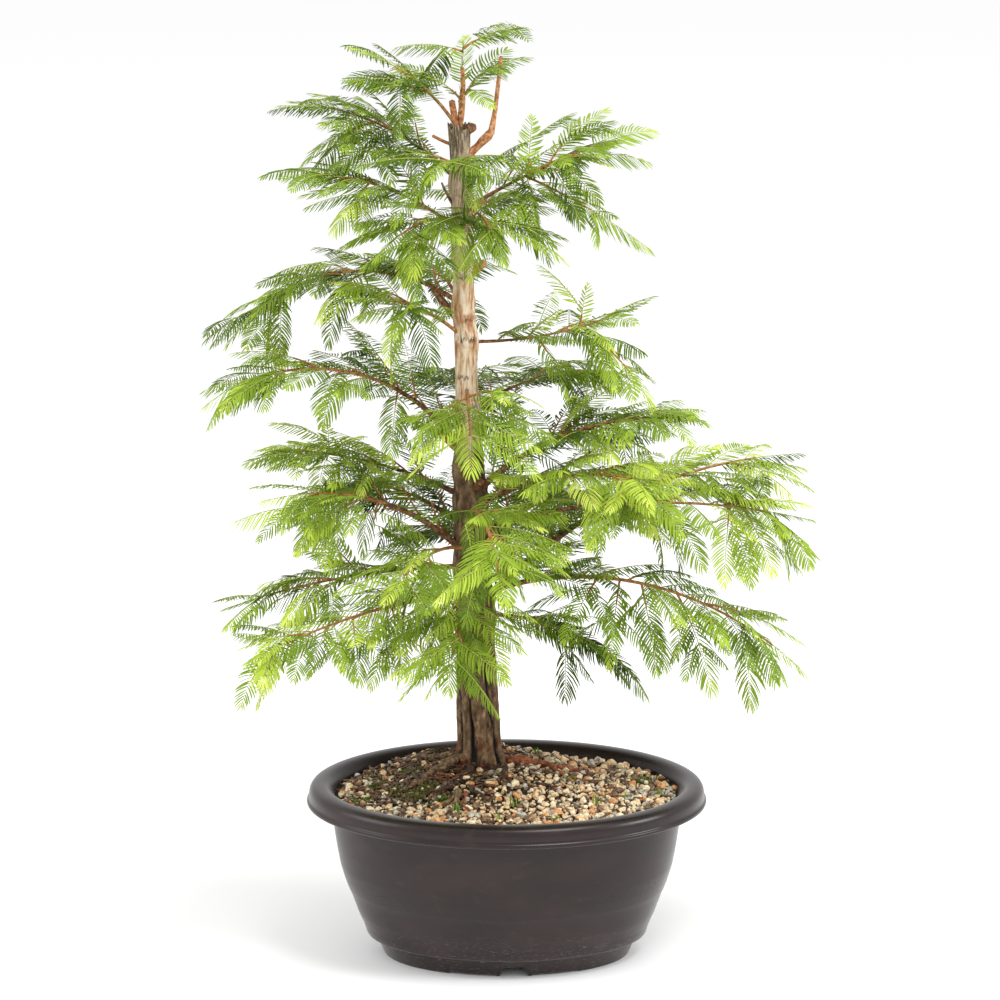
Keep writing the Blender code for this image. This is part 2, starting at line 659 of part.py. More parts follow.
class Mass:
    """One mass of foliage while it grows: its pieces, and what they must stay clear of."""

    def __init__(self, spec, obstacles):
        self.spec = spec
        self.obstacles = obstacles
        self.random = random.Random(spec.name)
        self.pieces = []
        self.fronds = []

    def touches(self, verts, faces):
        skin = BVHTree.FromPolygons(verts, faces)
        return any(skin.overlap(obstacle) for obstacle in self.obstacles)

    def add_twig(self, points, first, last):
        """A three-sided twig, unless it would touch a limb or another mass."""
        grown = tapered(len(points), first + CLEAR, last + CLEAR)
        if self.touches(*loft(tube(points, grown, TWIG_SIDES))):
            return False
        self.pieces.append(loft(tube(points, tapered(len(points), first, last), TWIG_SIDES)))
        return True

    def add_frond(self, line, normal, half_width):
        """A frond that swings up or down until it is clear, or is left out."""
        for swing in SWINGS:
            turn = Matrix.Rotation(math.radians(swing), 3, normal.cross(line[-1] - line[0]))
            swung = [line[0] + turn @ (point - line[0]) for point in line]
            outer = stretch(swung, ROOT_SHARE, 1.0, FROND_STEPS)
            own = BVHTree.FromPolygons(*blade(outer, normal, half_width, CLEAR))
            if any(own.overlap(other) for other in self.fronds):
                continue
            if self.touches(*blade(swung, normal, half_width, CLEAR)):
                continue
            self.pieces.append(blade(swung, normal, half_width))
            self.fronds.append(own)
            return

    def side_frond(self, line, share, hand, size):
        """A frond that leaves its shoot to one side and droops."""
        root, ahead = along(line, share)
        up = shoot_normal(ahead)
        spread = hand * self.random.uniform(0.85, 1.15) * FROND_SPREAD
        away = Matrix.Rotation(math.radians(spread), 3, up) @ ahead
        roll = self.roll(away, FROND_ROLL)
        droop = FROND_DROOP * self.random.uniform(0.7, 1.3)
        azimuth, rise = angles(away)
        length = size * self.random.uniform(0.9, 1.1)
        frond = arc(root, azimuth, rise - droop / 2, droop, length, FROND_STEPS)
        self.add_frond(frond, roll @ up, frond_half_width(length))

    def end_frond(self, line, length):
        """The frond that carries a shoot on to its tip."""
        start = max(0.0, 1 - FROND_LENGTH / length)
        frond = stretch(line, start, 1.0, FROND_STEPS)
        _, ahead = along(line, start)
        roll = self.roll(ahead, END_ROLL)
        self.add_frond(frond, roll @ shoot_normal(ahead), frond_half_width((1 - start) * length))

    def roll(self, ahead, most):
        """A turn about a frond's own direction, up to so many degrees either way."""
        return Matrix.Rotation(math.radians(self.random.uniform(-most, most)), 3, ahead)

    def shoot(self, line, length, first_share):
        """Fronds left and right along a shoot, shorter towards its foot, and one on to its tip."""
        usable = length * (1 - first_share) - 0.45 * FROND_LENGTH
        count = max(0, int(usable / FROND_PITCH))
        hand = self.random.choice((-1, 1))
        for i in range(count):
            share = first_share + (i + 0.6) * FROND_PITCH / length
            size = FROND_LENGTH * (0.80 + 0.20 * math.sin(math.pi * (i + 1) / (count + 1)))
            self.side_frond(line, share, hand, size)
            hand = -hand
        self.end_frond(line, length)

    def grow(self):
        spec = self.spec
        line = limb_line(spec)
        start = max(spec.bare - SUNK, 0.0) / spec.length
        stem_radius = STEM_SHARE * spec.radius if spec.bare else spec.radius
        last = max(shoot.share for shoot in spec.shoots)
        end = max(1 - (FROND_LENGTH - FROND_FOOT) / spec.length, last + FROND_FOOT / spec.length)
        stem = stretch(line, start, min(end, STEM_END), STEM_STEPS)
        radii = tapered(STEM_STEPS + 1, stem_radius, TWIG_TIP)
        self.pieces.append(loft(tube(stem, radii, TWIG_SIDES)))
        self.shoot(line, spec.length, max(spec.bare, BARE_FOOT) / spec.length)
        for shoot in spec.shoots:
            self.side_shoot(line, shoot)

    def side_shoot(self, line, shoot):
        share = max(shoot.share, (self.spec.bare + SHOOT_FOOT) / self.spec.length)
        root, _ = along(line, share)
        points = arc(root, shoot.azimuth, shoot.rise, shoot.droop, shoot.length, SHOOT_STEPS)
        if shoot.length <= LONE_FROND:
            self.end_frond(points, min(shoot.length, SHORT_FROND))
            return
        end = 1 - (FROND_LENGTH - FROND_FOOT) / shoot.length
        if self.add_twig(stretch(points, 0.0, end, TWIG_STEPS), TWIG_RADIUS, TWIG_TIP):
            self.shoot(points, shoot.length, SHOOT_FOOT / shoot.length)

    def build(self, collar):
        """All the pieces fused to one solid, less the collar."""
        mass = new_object("foliage_" + self.spec.name, *self.pieces[0], FOLIAGE)
        rest = [new_object("piece", *piece) for piece in self.pieces[1:]]
        return keep_largest(joined(joined(mass, rest), [collar], "DIFFERENCE"))


def shoot_normal(ahead):
    """Up, as a shoot's flat spray sees it."""
    azimuth, _ = angles(ahead)
    return ahead.cross(heading(azimuth + 90, 0)).normalized()


def frond_half_width(length):
    return FROND_HALF_WIDTH * (length / FROND_LENGTH) ** WIDTH_POWER


def make_foliage(spec, obstacles):
    """The mass of one limb, cut clear of the bough or of the trunk that carries it."""
    mass = Mass(spec, obstacles)
    mass.grow()
    collar = bough_collar(spec) if spec.bare else new_object("collar", *loft(trunk_rings(GAP)))
    return mass.build(collar)


def main():
    for thing in list(bpy.data.objects):
        bpy.data.objects.remove(thing)
    make_pot()
    make_soil()
    obstacles = [surface(make_trunk())]
    for spec in LIMBS + (BARE_LEADER,):
        if spec.bare:
            obstacles.append(surface(make_bough(spec)))
    for spec in LIMBS:
        obstacles.append(surface(make_foliage(spec, obstacles)))


if __name__ == "__main__":
    main()
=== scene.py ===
"""Looks of the dawn redwood bonsai: bark, needles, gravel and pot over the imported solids."""

import math
import random
from collections import namedtuple

import bmesh
import bpy
import numpy as np
from mathutils import Matrix, Vector


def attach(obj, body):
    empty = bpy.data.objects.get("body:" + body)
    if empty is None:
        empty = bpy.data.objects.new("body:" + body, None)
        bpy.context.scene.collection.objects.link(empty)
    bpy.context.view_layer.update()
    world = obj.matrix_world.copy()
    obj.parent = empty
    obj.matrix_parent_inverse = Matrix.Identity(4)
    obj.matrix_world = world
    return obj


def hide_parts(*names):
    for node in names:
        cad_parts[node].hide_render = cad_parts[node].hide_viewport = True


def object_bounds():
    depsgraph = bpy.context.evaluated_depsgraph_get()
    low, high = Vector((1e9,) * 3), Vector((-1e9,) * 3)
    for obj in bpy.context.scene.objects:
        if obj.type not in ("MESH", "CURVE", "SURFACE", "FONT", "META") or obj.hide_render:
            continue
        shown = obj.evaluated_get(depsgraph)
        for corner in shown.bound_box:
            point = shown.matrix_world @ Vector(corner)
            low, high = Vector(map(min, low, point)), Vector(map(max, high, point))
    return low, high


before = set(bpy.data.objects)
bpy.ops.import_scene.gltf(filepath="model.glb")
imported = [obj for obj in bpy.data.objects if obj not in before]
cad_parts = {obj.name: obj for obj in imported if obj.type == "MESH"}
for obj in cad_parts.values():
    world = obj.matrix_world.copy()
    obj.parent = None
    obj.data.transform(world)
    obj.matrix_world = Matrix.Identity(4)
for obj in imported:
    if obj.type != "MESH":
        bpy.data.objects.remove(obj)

CAD_BOX = [list(corner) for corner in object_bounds()]
LOW, HIGH = np.array(CAD_BOX)

# How many of a unit make a metre, for the tables of whole numbers
MM = 1000
TENTHS = 10000


def rows_of(kind, units, *rows):
    """Tuples of a kind from rows of whole numbers and words, each number over its column's unit."""
    return [kind(*(cell / size if size > 1 else cell for cell, size in zip(row, units))) for row in rows]


# Pot, soil and trunk, as in the part's source
POT_OVAL = 0.030
FOOT_HALF_WIDTH = 0.0784
FOOT_RING = 0.007
RECESS = 0.0122
SOIL_EDGE = 0.1070
MOUND_TOP = 0.1170
MOUND_FLAT = 0.023
MOUND_REACH = 0.078
TRUNK_X, TRUNK_Y = -0.0164, 0.0290
TRUNK_LEAN = -0.0131
LEAN_CURVE = 0.8
TRUNK_FOOT = 0.1173
TRUNK_TOP = 0.5290
Ring = namedtuple("Ring", "height radius")
TRUNK_TAPER = rows_of(
    Ring, (TENTHS, TENTHS),
    (1173, 165), (1280, 138), (1650, 126), (2250, 113), (2770, 101), (3090, 89), (3420, 73), (3700, 65),
    (4600, 60), (5050, 58), (5290, 67))
Root = namedtuple("Root", "azimuth length radius")
ROOTS = rows_of(
    Root, (1, MM, TENTHS),
    (-12, 58, 34), (-62, 34, 30), (-112, 40, 36), (-146, 52, 32), (165, 40, 30), (78, 36, 34))
ROOT_START = 0.010
ROOT_BEND = 0.006
ROOT_LIFT = 0.004

# Limbs, as in the part's source: name, height, azimuth, rise, droop, length, bare stretch, radius (in tenths
# of a millimetre), tone from 0 for deep green to 50 for yellow tips, and the percentage of side fronds kept.
# A side shoot has its place along the limb in percent, azimuth, rise, droop and length.
Limb = namedtuple("Limb", "name height azimuth rise droop length bare radius tone fullness shoots")
LIMB_UNITS = (1, MM, 1, 1, 1, MM, MM, TENTHS, 10, 100, 1)
Shoot = namedtuple("Shoot", "share azimuth rise droop length")
SHOOT_UNITS = (100, 1, 1, 1, MM)
LIMBS = rows_of(Limb, LIMB_UNITS, *((*row[:10], rows_of(Shoot, SHOOT_UNITS, *row[10:])) for row in (
    # Left side, from the lowest limb up
    ("low_left", 229, 216, -6, 24, 172, 60, 19, 31, 88, (36, 285, -50, 20, 46), (36, 305, -24, 30, 54),
     (54, 288, -66, 16, 40), (64, 250, -34, 30, 38), (74, 196, -8, 26, 42)),
    ("thin_left", 247, 188, -8, 20, 160, 74, 15, 22, 66, (52, 218, -32, 30, 44), (56, 158, -12, 30, 50)),
    ("left_lower", 250, 193, 19, 64, 150, 66, 24, 27, 88, (50, 264, -36, 30, 60), (56, 222, -26, 40, 62),
     (50, 150, 4, 40, 52), (76, 240, -20, 40, 45)),
    ("left_middle", 290, 163, 9, 30, 148, 48, 19, 30, 88, (42, 205, 18, 40, 50), (50, 250, -6, 40, 55),
     (66, 270, 60, 10, 24), (64, 214, -4, 40, 48), (60, 122, -4, 40, 50)),
    ("left_upper", 311, 186, 15, 104, 196, 66, 22, 22, 88, (36, 172, 50, 30, 46), (35, 266, -34, 30, 58),
     (54, 256, -16, 40, 56), (62, 168, 8, 40, 56), (70, 218, -18, 40, 54), (46, 138, 0, 40, 52)),
    ("far_left", 414, 166, -8, 88, 160, 54, 15, 22, 88, (40, 232, -24, 50, 58), (52, 202, -14, 44, 60),
     (66, 218, -26, 40, 50), (86, 184, -30, 30, 48), (84, 200, -82, 8, 36), (50, 124, -4, 40, 50)),
    ("left_high", 393, 215, 22, 44, 94, 0, 14, 22, 88, (45, 254, -8, 50, 52), (50, 172, 16, 40, 52)),
    ("top_left", 460, 195, 20, 46, 122, 34, 14, 22, 88, (45, 238, -10, 40, 50), (50, 160, 4, 40, 54),
     (56, 214, -46, 20, 38)),
    ("crown_left", 491, 163, 23, 44, 122, 44, 14, 18, 88, (45, 192, 26, 36, 56), (55, 206, -26, 40, 56),
     (42, 236, -24, 40, 44), (42, 118, 6, 40, 48)),
    ("crown_fan", 524, 184, 38, 44, 86, 0, 12, 16, 80, (34, 212, 6, 40, 46), (34, 150, 14, 40, 42)),
    # Right side, from the lowest limb up
    ("low_inner_right", 215, 18, -24, 44, 116, 0, 14, 8, 88, (34, 56, -12, 30, 54), (38, 344, -46, 20, 50)),
    ("right_low", 227, 346, -10, 70, 232, 78, 21, 24, 62, (36, 236, -40, 20, 52), (48, 284, -54, 20, 60),
     (58, 316, -62, 20, 66), (66, 350, -20, 30, 66), (44, 40, -6, 40, 54), (42, 254, -64, 16, 56)),
    ("right_rising", 216, 8, 25, 48, 238, 88, 27, 30, 88, (46, 316, 0, 44, 60), (46, 52, 12, 40, 60),
     (66, 332, -6, 44, 64), (58, 20, 26, 40, 54), (80, 334, -20, 44, 48)),
    ("right_tip", 271, 350, 4, 30, 219, 66, 21, 30, 88, (36, 318, -10, 40, 56), (58, 28, 4, 40, 56),
     (76, 262, -46, 30, 56), (80, 300, -46, 20, 48), (85, 342, -36, 24, 44), (74, 16, -6, 40, 48)),
    ("right_mid", 284, 322, 13, 40, 166, 60, 20, 36, 88, (42, 350, 24, 40, 56), (50, 286, -6, 50, 54),
     (62, 354, 6, 44, 60), (70, 300, -16, 40, 48)),
    ("right_upper", 291, 343, 22, 52, 166, 64, 23, 20, 88, (44, 330, 52, 40, 46), (50, 296, -6, 44, 56),
     (44, 34, 14, 44, 54), (64, 320, 0, 44, 52), (46, 252, 0, 40, 40), (70, 10, 2, 40, 46)),
    ("right_thin", 392, 352, 14, -28, 118, 36, 12, 26, 76, (32, 20, 36, 20, 28), (62, 60, 70, 10, 27),
     (64, 338, -50, 34, 86), (56, 314, -20, 44, 44), (50, 44, 0, 40, 48), (38, 312, -50, 34, 44)),
    ("crown_right", 474, 344, 26, 14, 118, 42, 15, 20, 80, (38, 280, -40, 30, 42), (40, 345, -28, 14, 90),
     (42, 84, 50, 30, 42), (50, 330, 12, 34, 50), (54, 26, 38, 40, 52), (66, 322, -6, 30, 34)),
    # Leader
    ("leader", 526, 0, 87, 0, 52, 0, 13, 22, 80, (30, 352, 34, 60, 52), (34, 200, 30, 40, 34),
     (94, 0, 18, 36, 42), (90, 176, 8, 30, 22)),
    # In front of the trunk
    ("front_low", 245, 263, -22, 44, 128, 0, 16, 29, 88, (34, 298, -36, 34, 68), (36, 240, -36, 34, 68),
     (60, 284, -40, 30, 50)),
    ("front_low_left", 257, 245, -2, 50, 128, 0, 15, 27, 88, (36, 216, -8, 40, 54), (50, 276, -26, 40, 50)),
    ("front_mid", 281, 277, -4, 50, 178, 0, 17, 27, 88, (30, 314, 0, 44, 56), (34, 244, -14, 44, 52),
     (56, 306, -24, 40, 52), (60, 250, -24, 40, 50)),
    ("front_centre", 361, 272, -18, 54, 104, 0, 13, 25, 88, (26, 236, -24, 44, 64), (26, 314, 4, 44, 66)),
    ("front_top", 497, 256, 6, 60, 74, 0, 12, 22, 88, (30, 206, 6, 44, 48), (32, 322, -6, 50, 46)),
    ("front_high_left", 468, 238, -6, 46, 98, 0, 13, 22, 88, (34, 210, -10, 40, 48), (46, 264, -30, 40, 50)),
    ("front_high_right", 474, 288, -12, 60, 90, 0, 13, 22, 88, (36, 302, -30, 40, 36),
     (36, 250, -32, 40, 46)),
    # Behind the trunk
    ("back_low", 238, 98, 4, 50, 110, 36, 21, 9, 88, (40, 60, -8, 40, 54), (42, 138, -8, 40, 54)),
    ("back_low_left", 268, 142, 6, 50, 126, 46, 19, 11, 88, (42, 182, -6, 40, 56), (46, 104, -8, 40, 54),
     (64, 160, -22, 40, 52)),
    ("back_low_right", 254, 47, 8, 50, 134, 50, 21, 12, 88, (42, 16, 4, 40, 56), (46, 84, -6, 40, 54),
     (64, 30, -20, 40, 52)),
    ("back_mid", 330, 92, 12, 52, 110, 36, 18, 12, 88, (40, 52, 2, 40, 54), (44, 134, 0, 40, 54)),
    ("back_mid_right", 345, 30, 8, 46, 116, 34, 15, 22, 88, (42, 350, 6, 40, 52), (46, 66, 2, 40, 52)),
    ("back_high", 408, 110, 12, 50, 98, 0, 14, 15, 74, (34, 72, 6, 40, 52), (40, 148, 4, 40, 52)),
    ("back_crown", 462, 66, 10, 50, 78, 0, 13, 15, 70, (32, 36, 4, 40, 44), (36, 116, 8, 40, 48)),
)))
# The bare leader's two growths: places (x, z) along each and its radii, in tenths of a millimetre
LEADER_GROWTHS = (
    (((-264, 5060), (-209, 5116), (-141, 5184), (-91, 5240)), (36, 24, 23, 30, 24)),
    (((-97, 5227), (-73, 5357), (-54, 5524), (-36, 5695)), (20, 14, 13, 12)),
)


# ---- Noise on arrays
def lattice(x, y, z, seed):
    """A fixed random number from 0 to 1 at each whole-numbered place."""
    h = (x * 374761393 + y * 668265263 + z * 1274126177 + seed * 362437) & 0xFFFFFFFF
    h = ((h ^ (h >> 13)) * 1274126177) & 0xFFFFFFFF
    return ((h ^ (h >> 16)) & 0xFFFF) / 65535.0


def noise(points, seed=0):
    """Smooth noise from 0 to 1 over points of shape (n, 3)."""
    cell = np.floor(points).astype(np.int64)
    part = points - cell
    part = part * part * (3 - 2 * part)
    total = np.zeros(len(points))
    for corner in np.ndindex(2, 2, 2):
        weight = np.ones(len(points))
        for axis, step in enumerate(corner):
            weight *= part[:, axis] if step else 1 - part[:, axis]
        total += weight * lattice(*(cell + corner).T, seed)
    return total


def layered(points, octaves, seed=0):
    total, size, whole = 0.0, 1.0, 0.0
    for octave in range(octaves):
        total = total + size * noise(points * 2 ** octave, seed + 17 * octave)
        whole += size
        size *= 0.5
    return total / whole


# ---- Arrays and meshes
def circle(count):
    return np.linspace(0, 2 * math.pi, count, endpoint=False)


def stacked(*parts):
    return np.stack(parts, -1)


def unit(rows, least=0.0):
    """Rows scaled to length one."""
    return rows / (np.linalg.norm(rows, axis=1)[:, None] + least)


def mesh_object(name, verts, faces, material, smooth=True):
    """One object from arrays of vertices and of faces."""
    mesh = bpy.data.meshes.new(name)
    mesh.from_pydata(np.asarray(verts, float).tolist(), [], np.asarray(faces).tolist())
    mesh.materials.append(material)
    mesh.polygons.foreach_set("use_smooth", np.full(len(mesh.polygons), smooth))
    mesh.update()
    thing = bpy.data.objects.new(name, mesh)
    bpy.context.scene.collection.objects.link(thing)
    return thing


def grid_faces(rows, columns):
    """Quads of a skin of rings, each closed on itself."""
    low = np.arange(rows - 1)[:, None] * columns
    i = np.arange(columns)[None, :]
    j = (i + 1) % columns
    return stacked(low + i, low + j, low + columns + j, low + columns + i).reshape(-1, 4)


class Pile:
    """Vertices and faces that gather into one mesh."""

    def __init__(self):
        self.verts, self.faces, self.count = [], [], 0

    def add(self, verts, faces):
        self.verts.append(verts)
        self.faces.append(np.asarray(faces) + self.count)
        self.count += len(verts)

    def make(self, name, material):
        return mesh_object(name, np.concatenate(self.verts), np.concatenate(self.faces), material)


# ---- Materials
def srgb(*colour):
    """A colour from 0 to 255, as linear light."""
    shares = (c / 255 for c in colour)
    return *(c / 12.92 if c <= 0.04045 else ((c + 0.055) / 1.055) ** 2.4 for c in shares), 1.0


class Shader:
    """A Principled material and short ways to wire it."""

    def __init__(self, name, colour, roughness=0.6, specular=0.5):
        self.material = bpy.data.materials.new(name)
        self.material.use_nodes = True
        self.nodes = self.material.node_tree.nodes
        self.links = self.material.node_tree.links
        self.main = self.nodes["Principled BSDF"]
        self.main.inputs["Base Color"].default_value = srgb(*colour)
        self.main.inputs["Roughness"].default_value = roughness
        self.main.inputs["Specular IOR Level"].default_value = specular
        self.material.diffuse_color = srgb(*colour)
        self.place = self.nodes.new("ShaderNodeTexCoord").outputs["Object"]

    def node(self, kind, **inputs):
        made = self.nodes.new(kind)
        for key, value in inputs.items():
            self.set(made.inputs[key.replace("_", " ")], value)
        return made

    def set(self, socket, value):
        if isinstance(value, bpy.types.NodeSocket):
            self.links.new(value, socket)
        else:
            socket.default_value = srgb(*value) if isinstance(value, tuple) else value

    def stretched(self, x, y, z):
        made = self.node("ShaderNodeMapping", Vector=self.place)
        made.inputs["Scale"].default_value = (x, y, z)
        return made.outputs["Vector"]

    def noise(self, scale, detail=3.0, roughness=0.55, place=None):
        return self.node("ShaderNodeTexNoise", Scale=scale, Detail=detail, Roughness=roughness,
                         Vector=place or self.place).outputs["Fac"]

    def ramp(self, value, *stops):
        made = self.node("ShaderNodeValToRGB", Fac=value)
        elements = made.color_ramp.elements
        while len(elements) < len(stops):
            elements.new(0.5)
        for element, (at, *colour) in zip(elements, stops):
            element.position = at
            element.color = srgb(*colour)
        return made.outputs["Color"]

    def span(self, value, low, high, to_low=0.0, to_high=1.0):
        made = self.node("ShaderNodeMapRange", Value=value)
        for key, number in zip(("From Min", "From Max", "To Min", "To Max"), (low, high, to_low, to_high)):
            made.inputs[key].default_value = number
        return made.outputs["Result"]

    def mix(self, share, first, second):
        made = self.nodes.new("ShaderNodeMix")
        made.data_type = "RGBA"
        for socket, value in zip([s for s in made.inputs if s.enabled], (share, first, second)):
            self.set(socket, value)
        return [s for s in made.outputs if s.enabled][0]

    def wash(self, base, colour, value, low, high, most=1.0):
        """A colour laid over a base where a value runs from low to high."""
        return self.mix(self.span(value, low, high, 0, most), base, colour)

    def math(self, operation, *values):
        made = self.nodes.new("ShaderNodeMath")
        made.operation = operation
        for socket, value in zip(made.inputs, values):
            self.set(socket, value)
        return made.outputs[0]

    def height(self):
        return self.node("ShaderNodeSeparateXYZ", Vector=self.place).outputs["Z"]

    def bump(self, value, distance, strength=1.0):
        made = self.node("ShaderNodeBump", Height=value)
        made.inputs["Distance"].default_value = distance
        made.inputs["Strength"].default_value = strength
        self.links.new(made.outputs["Normal"], self.main.inputs["Normal"])

    def colour(self, value):
        self.set(self.main.inputs["Base Color"], value)

    def roughness(self, value):
        self.set(self.main.inputs["Roughness"], value)


def bark_material():
    """Brown furrowed bark below, pale bare wood above it, and grey weathered wood at the cut top."""
    made = Shader("bark", (105, 84, 61), 0.85, 0.3)
    groove = made.nodes.new("ShaderNodeAttribute")
    groove.attribute_name = "groove"
    streaks = made.noise(60, 4, 0.6, made.stretched(6, 6, 1))
    fibres = made.noise(150, 4, 0.65, made.stretched(6, 6, 1))
    wrinkles = made.noise(160, 4, 0.6, made.stretched(1.5, 1.5, 6))
    blotches = made.noise(120, 5, 0.62, made.stretched(2.2, 2.2, 1))
    patches = made.noise(70, 3)
    brown = made.ramp(blotches, (0.30, 62, 44, 30), (0.45, 108, 84, 60),
                      (0.58, 142, 116, 88), (0.72, 178, 150, 120))
    brown = made.wash(brown, (84, 64, 46), fibres, 0.54, 0.72, 0.30)
    brown = made.wash(brown, (80, 58, 42), wrinkles, 0.52, 0.70, 0.50)
    brown = made.wash(brown, (156, 98, 66), patches, 0.60, 0.72, 0.35)
    foot = made.math("MULTIPLY", made.span(made.height(), 0.138, 0.124), made.span(patches, 0.46, 0.56))
    rusty = made.ramp(blotches, (0.34, 58, 28, 18), (0.52, 116, 58, 36), (0.68, 196, 112, 62))
    brown = made.mix(foot, brown, rusty)
    pale = made.ramp(streaks, (0.30, 154, 98, 62), (0.41, 206, 158, 118),
                     (0.51, 244, 216, 186), (0.62, 255, 240, 222), (0.74, 206, 168, 134))
    pale = made.wash(pale, (146, 112, 86), fibres, 0.56, 0.70, 0.60)
    pale = made.wash(pale, (188, 122, 82), patches, 0.57, 0.66, 0.75)
    grey = made.ramp(fibres, (0.32, 120, 98, 76), (0.52, 186, 162, 132), (0.70, 222, 204, 176))
    pale = made.wash(pale, grey, made.height(), 0.410, 0.475, 0.7)
    rise = made.math("ADD", made.height(), made.span(patches, 0.3, 0.7, -0.018, 0.018))
    colour = made.wash(brown, pale, rise, 0.318, 0.346)
    weathered = made.ramp(fibres, (0.34, 52, 42, 32), (0.50, 122, 104, 82), (0.66, 206, 192, 168))
    colour = made.wash(colour, weathered, rise, 0.492, 0.508, 0.92)
    # Painted shade: the furrows, cracks, knot creases and the hollow cut top are darkened towards near black;
    # the knots' centres get their own darker colour.
    made.colour(made.wash(colour, (21, 16, 12), groove.outputs["Fac"], 0.15, 0.80))
    made.roughness(made.span(fibres, 0.3, 0.7, 0.72, 0.95))
    made.bump(made.math("ADD", fibres, wrinkles), 0.0006, 0.8)
    return made.material


def limb_material(name, dark, middle, light, roughness=0.7):
    made = Shader(name, middle, roughness, 0.35)
    rings = made.noise(420, 4, 0.6)
    broad = made.noise(90, 3)
    colour = made.ramp(rings, (0.32, *dark), (0.50, *middle), (0.70, *light))
    made.colour(made.wash(colour, dark, broad, 0.52, 0.64, 0.55))
    made.roughness(made.span(rings, 0.3, 0.7, roughness - 0.12, roughness + 0.12))
    made.bump(rings, 0.0003, 0.7)
    return made.material


def needle_material(name, colour):
    """One plain green: soft satin, with a little unevenness in its gloss."""
    made = Shader(name, colour, 0.6, 0.22)
    made.roughness(made.span(made.noise(900, 2), 0.3, 0.7, 0.50, 0.70))
    return made.material


def plastic_material():
    """Dark brown moulded plastic, dusty in streaks, scuffed along the foot."""
    made = Shader("pot_plastic", (42, 29, 27), 0.32, 0.38)
    made.main.inputs["Sheen Weight"].default_value = 0.22
    made.main.inputs["Sheen Roughness"].default_value = 0.35
    dust = made.noise(16, 5, 0.62, made.stretched(1, 1, 1.6))
    wipe = made.noise(60, 4, 0.6, made.stretched(1, 1, 2.4))
    colour = made.ramp(dust, (0.30, 24, 12, 11), (0.52, 32, 18, 16), (0.75, 46, 31, 29))
    colour = made.wash(colour, (92, 82, 78), wipe, 0.60, 0.74, 0.12)
    scuffs = made.math("MULTIPLY", made.span(made.noise(300, 3, 0.6, made.stretched(1, 1, 5)), 0.60, 0.66),
                       made.span(made.height(), 0.036, 0.014, 0, 0.45))
    made.colour(made.mix(scuffs, colour, (126, 116, 106)))
    made.roughness(made.span(dust, 0.3, 0.7, 0.24, 0.38))
    made.bump(made.noise(900, 3), 0.00008, 0.5)
    return made.material


def stone_material(name, dark, middle, light):
    made = Shader(name, middle, 0.7, 0.45)
    mottle = made.noise(420, 4, 0.65)
    specks = made.noise(1500, 2)
    colour = made.ramp(mottle, (0.32, *dark), (0.50, *middle), (0.68, *light))
    made.colour(made.wash(colour, dark, specks, 0.62, 0.72, 0.6))
    made.bump(mottle, 0.0004, 0.8)
    return made.material


def ground_material():
    made = Shader("potting_mix", (62, 46, 32), 0.95, 0.2)
    crumbs = made.noise(500, 4, 0.7)
    broad = made.noise(40, 3)
    colour = made.ramp(crumbs, (0.30, 26, 18, 13), (0.52, 66, 48, 34), (0.72, 126, 101, 74))
    made.colour(made.wash(colour, (40, 44, 18), broad, 0.50, 0.62, 0.5))
    made.bump(crumbs, 0.0012)
    return made.material


# ---- Pot
POT_SIDES = 320
# Half widths and heights, down the outside from the lip to the foot and down the inside
Corner = namedtuple("Corner", "half_width height")
POT_OUTSIDE = rows_of(
    Corner, (TENTHS, TENTHS),
    (1180, 1135), (1214, 1131), (1238, 1118), (1252, 1094), (1256, 1065), (1257, 1038), (1270, 1028),
    (1268, 1008), (1250, 1003), (1118, 1003), (1104, 930), (1098, 850), (1083, 740), (1060, 610),
    (1034, 520), (1013, 460), (1000, 432), (987, 398), (973, 358), (960, 320), (947, 284), (935, 258),
    (925, 234), (913, 205), (893, 140), (836, 126), (784, 0))
POT_INSIDE = rows_of(
    Corner, (TENTHS, TENTHS),
    (1152, 1132), (1130, 1120), (1110, 1098), (1095, 1066), (1086, 1030), (1073, 850), (1035, 610))
CORNER_RADIUS = 0.0011
# Edges of more degrees than this stay sharp
LIP_SHARP = 40
FOOT_STEP = 0.0126
Notch = namedtuple("Notch", "x width top_width height")
NOTCHES = rows_of(
    Notch, (TENTHS, TENTHS, TENTHS, TENTHS),
    (45, 180, 130, 60), (-215, 300, 290, 10), (305, 300, 290, 10))


def rounded(profile, radius):
    """Each corner of an open profile turned into a small round."""
    points = [np.array(p, float) for p in profile]
    out = [points[0]]
    for before, corner, after in zip(points, points[1:], points[2:]):
        legs = []
        for end in (before, after):
            leg = end - corner
            length = np.linalg.norm(leg)
            legs.append(corner + leg / length * min(radius, 0.42 * length))
        out += [legs[0], (legs[0] + legs[1] + 2 * corner) / 4, legs[1]]
    out.append(points[-1])
    return out


def make_pot():
    ring = FOOT_HALF_WIDTH - FOOT_RING
    underside = [(0.0, RECESS), (ring - 0.0015, RECESS), (ring, 0.0)]
    profile = rounded([*underside, *reversed(POT_OUTSIDE), *POT_INSIDE], CORNER_RADIUS)
    turns = circle(POT_SIDES)
    rows = []
    for half_width, height in profile:
        half_depth = max(half_width - POT_OVAL, 0.0)
        across = half_width * np.cos(turns)
        lift = np.zeros(POT_SIDES)
        for notch in NOTCHES:
            away = np.abs(across - notch.x)
            slope = (notch.width - notch.top_width) / 2
            rise = notch.height * np.clip((notch.width / 2 - away) / slope, 0, 1)
            lift = np.maximum(lift, rise)
        share = np.clip(1 - height / FOOT_STEP, 0, 1) if half_width > ring - 0.001 else 0
        rows.append(stacked(across, half_depth * np.sin(turns), height + lift * share))
    pot = mesh_object("pot_shell", np.concatenate(rows), grid_faces(len(rows), POT_SIDES),
                      plastic_material())
    pot.data.set_sharp_from_angle(angle=math.radians(LIP_SHARP))
    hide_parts("pot")
    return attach(pot, "root")


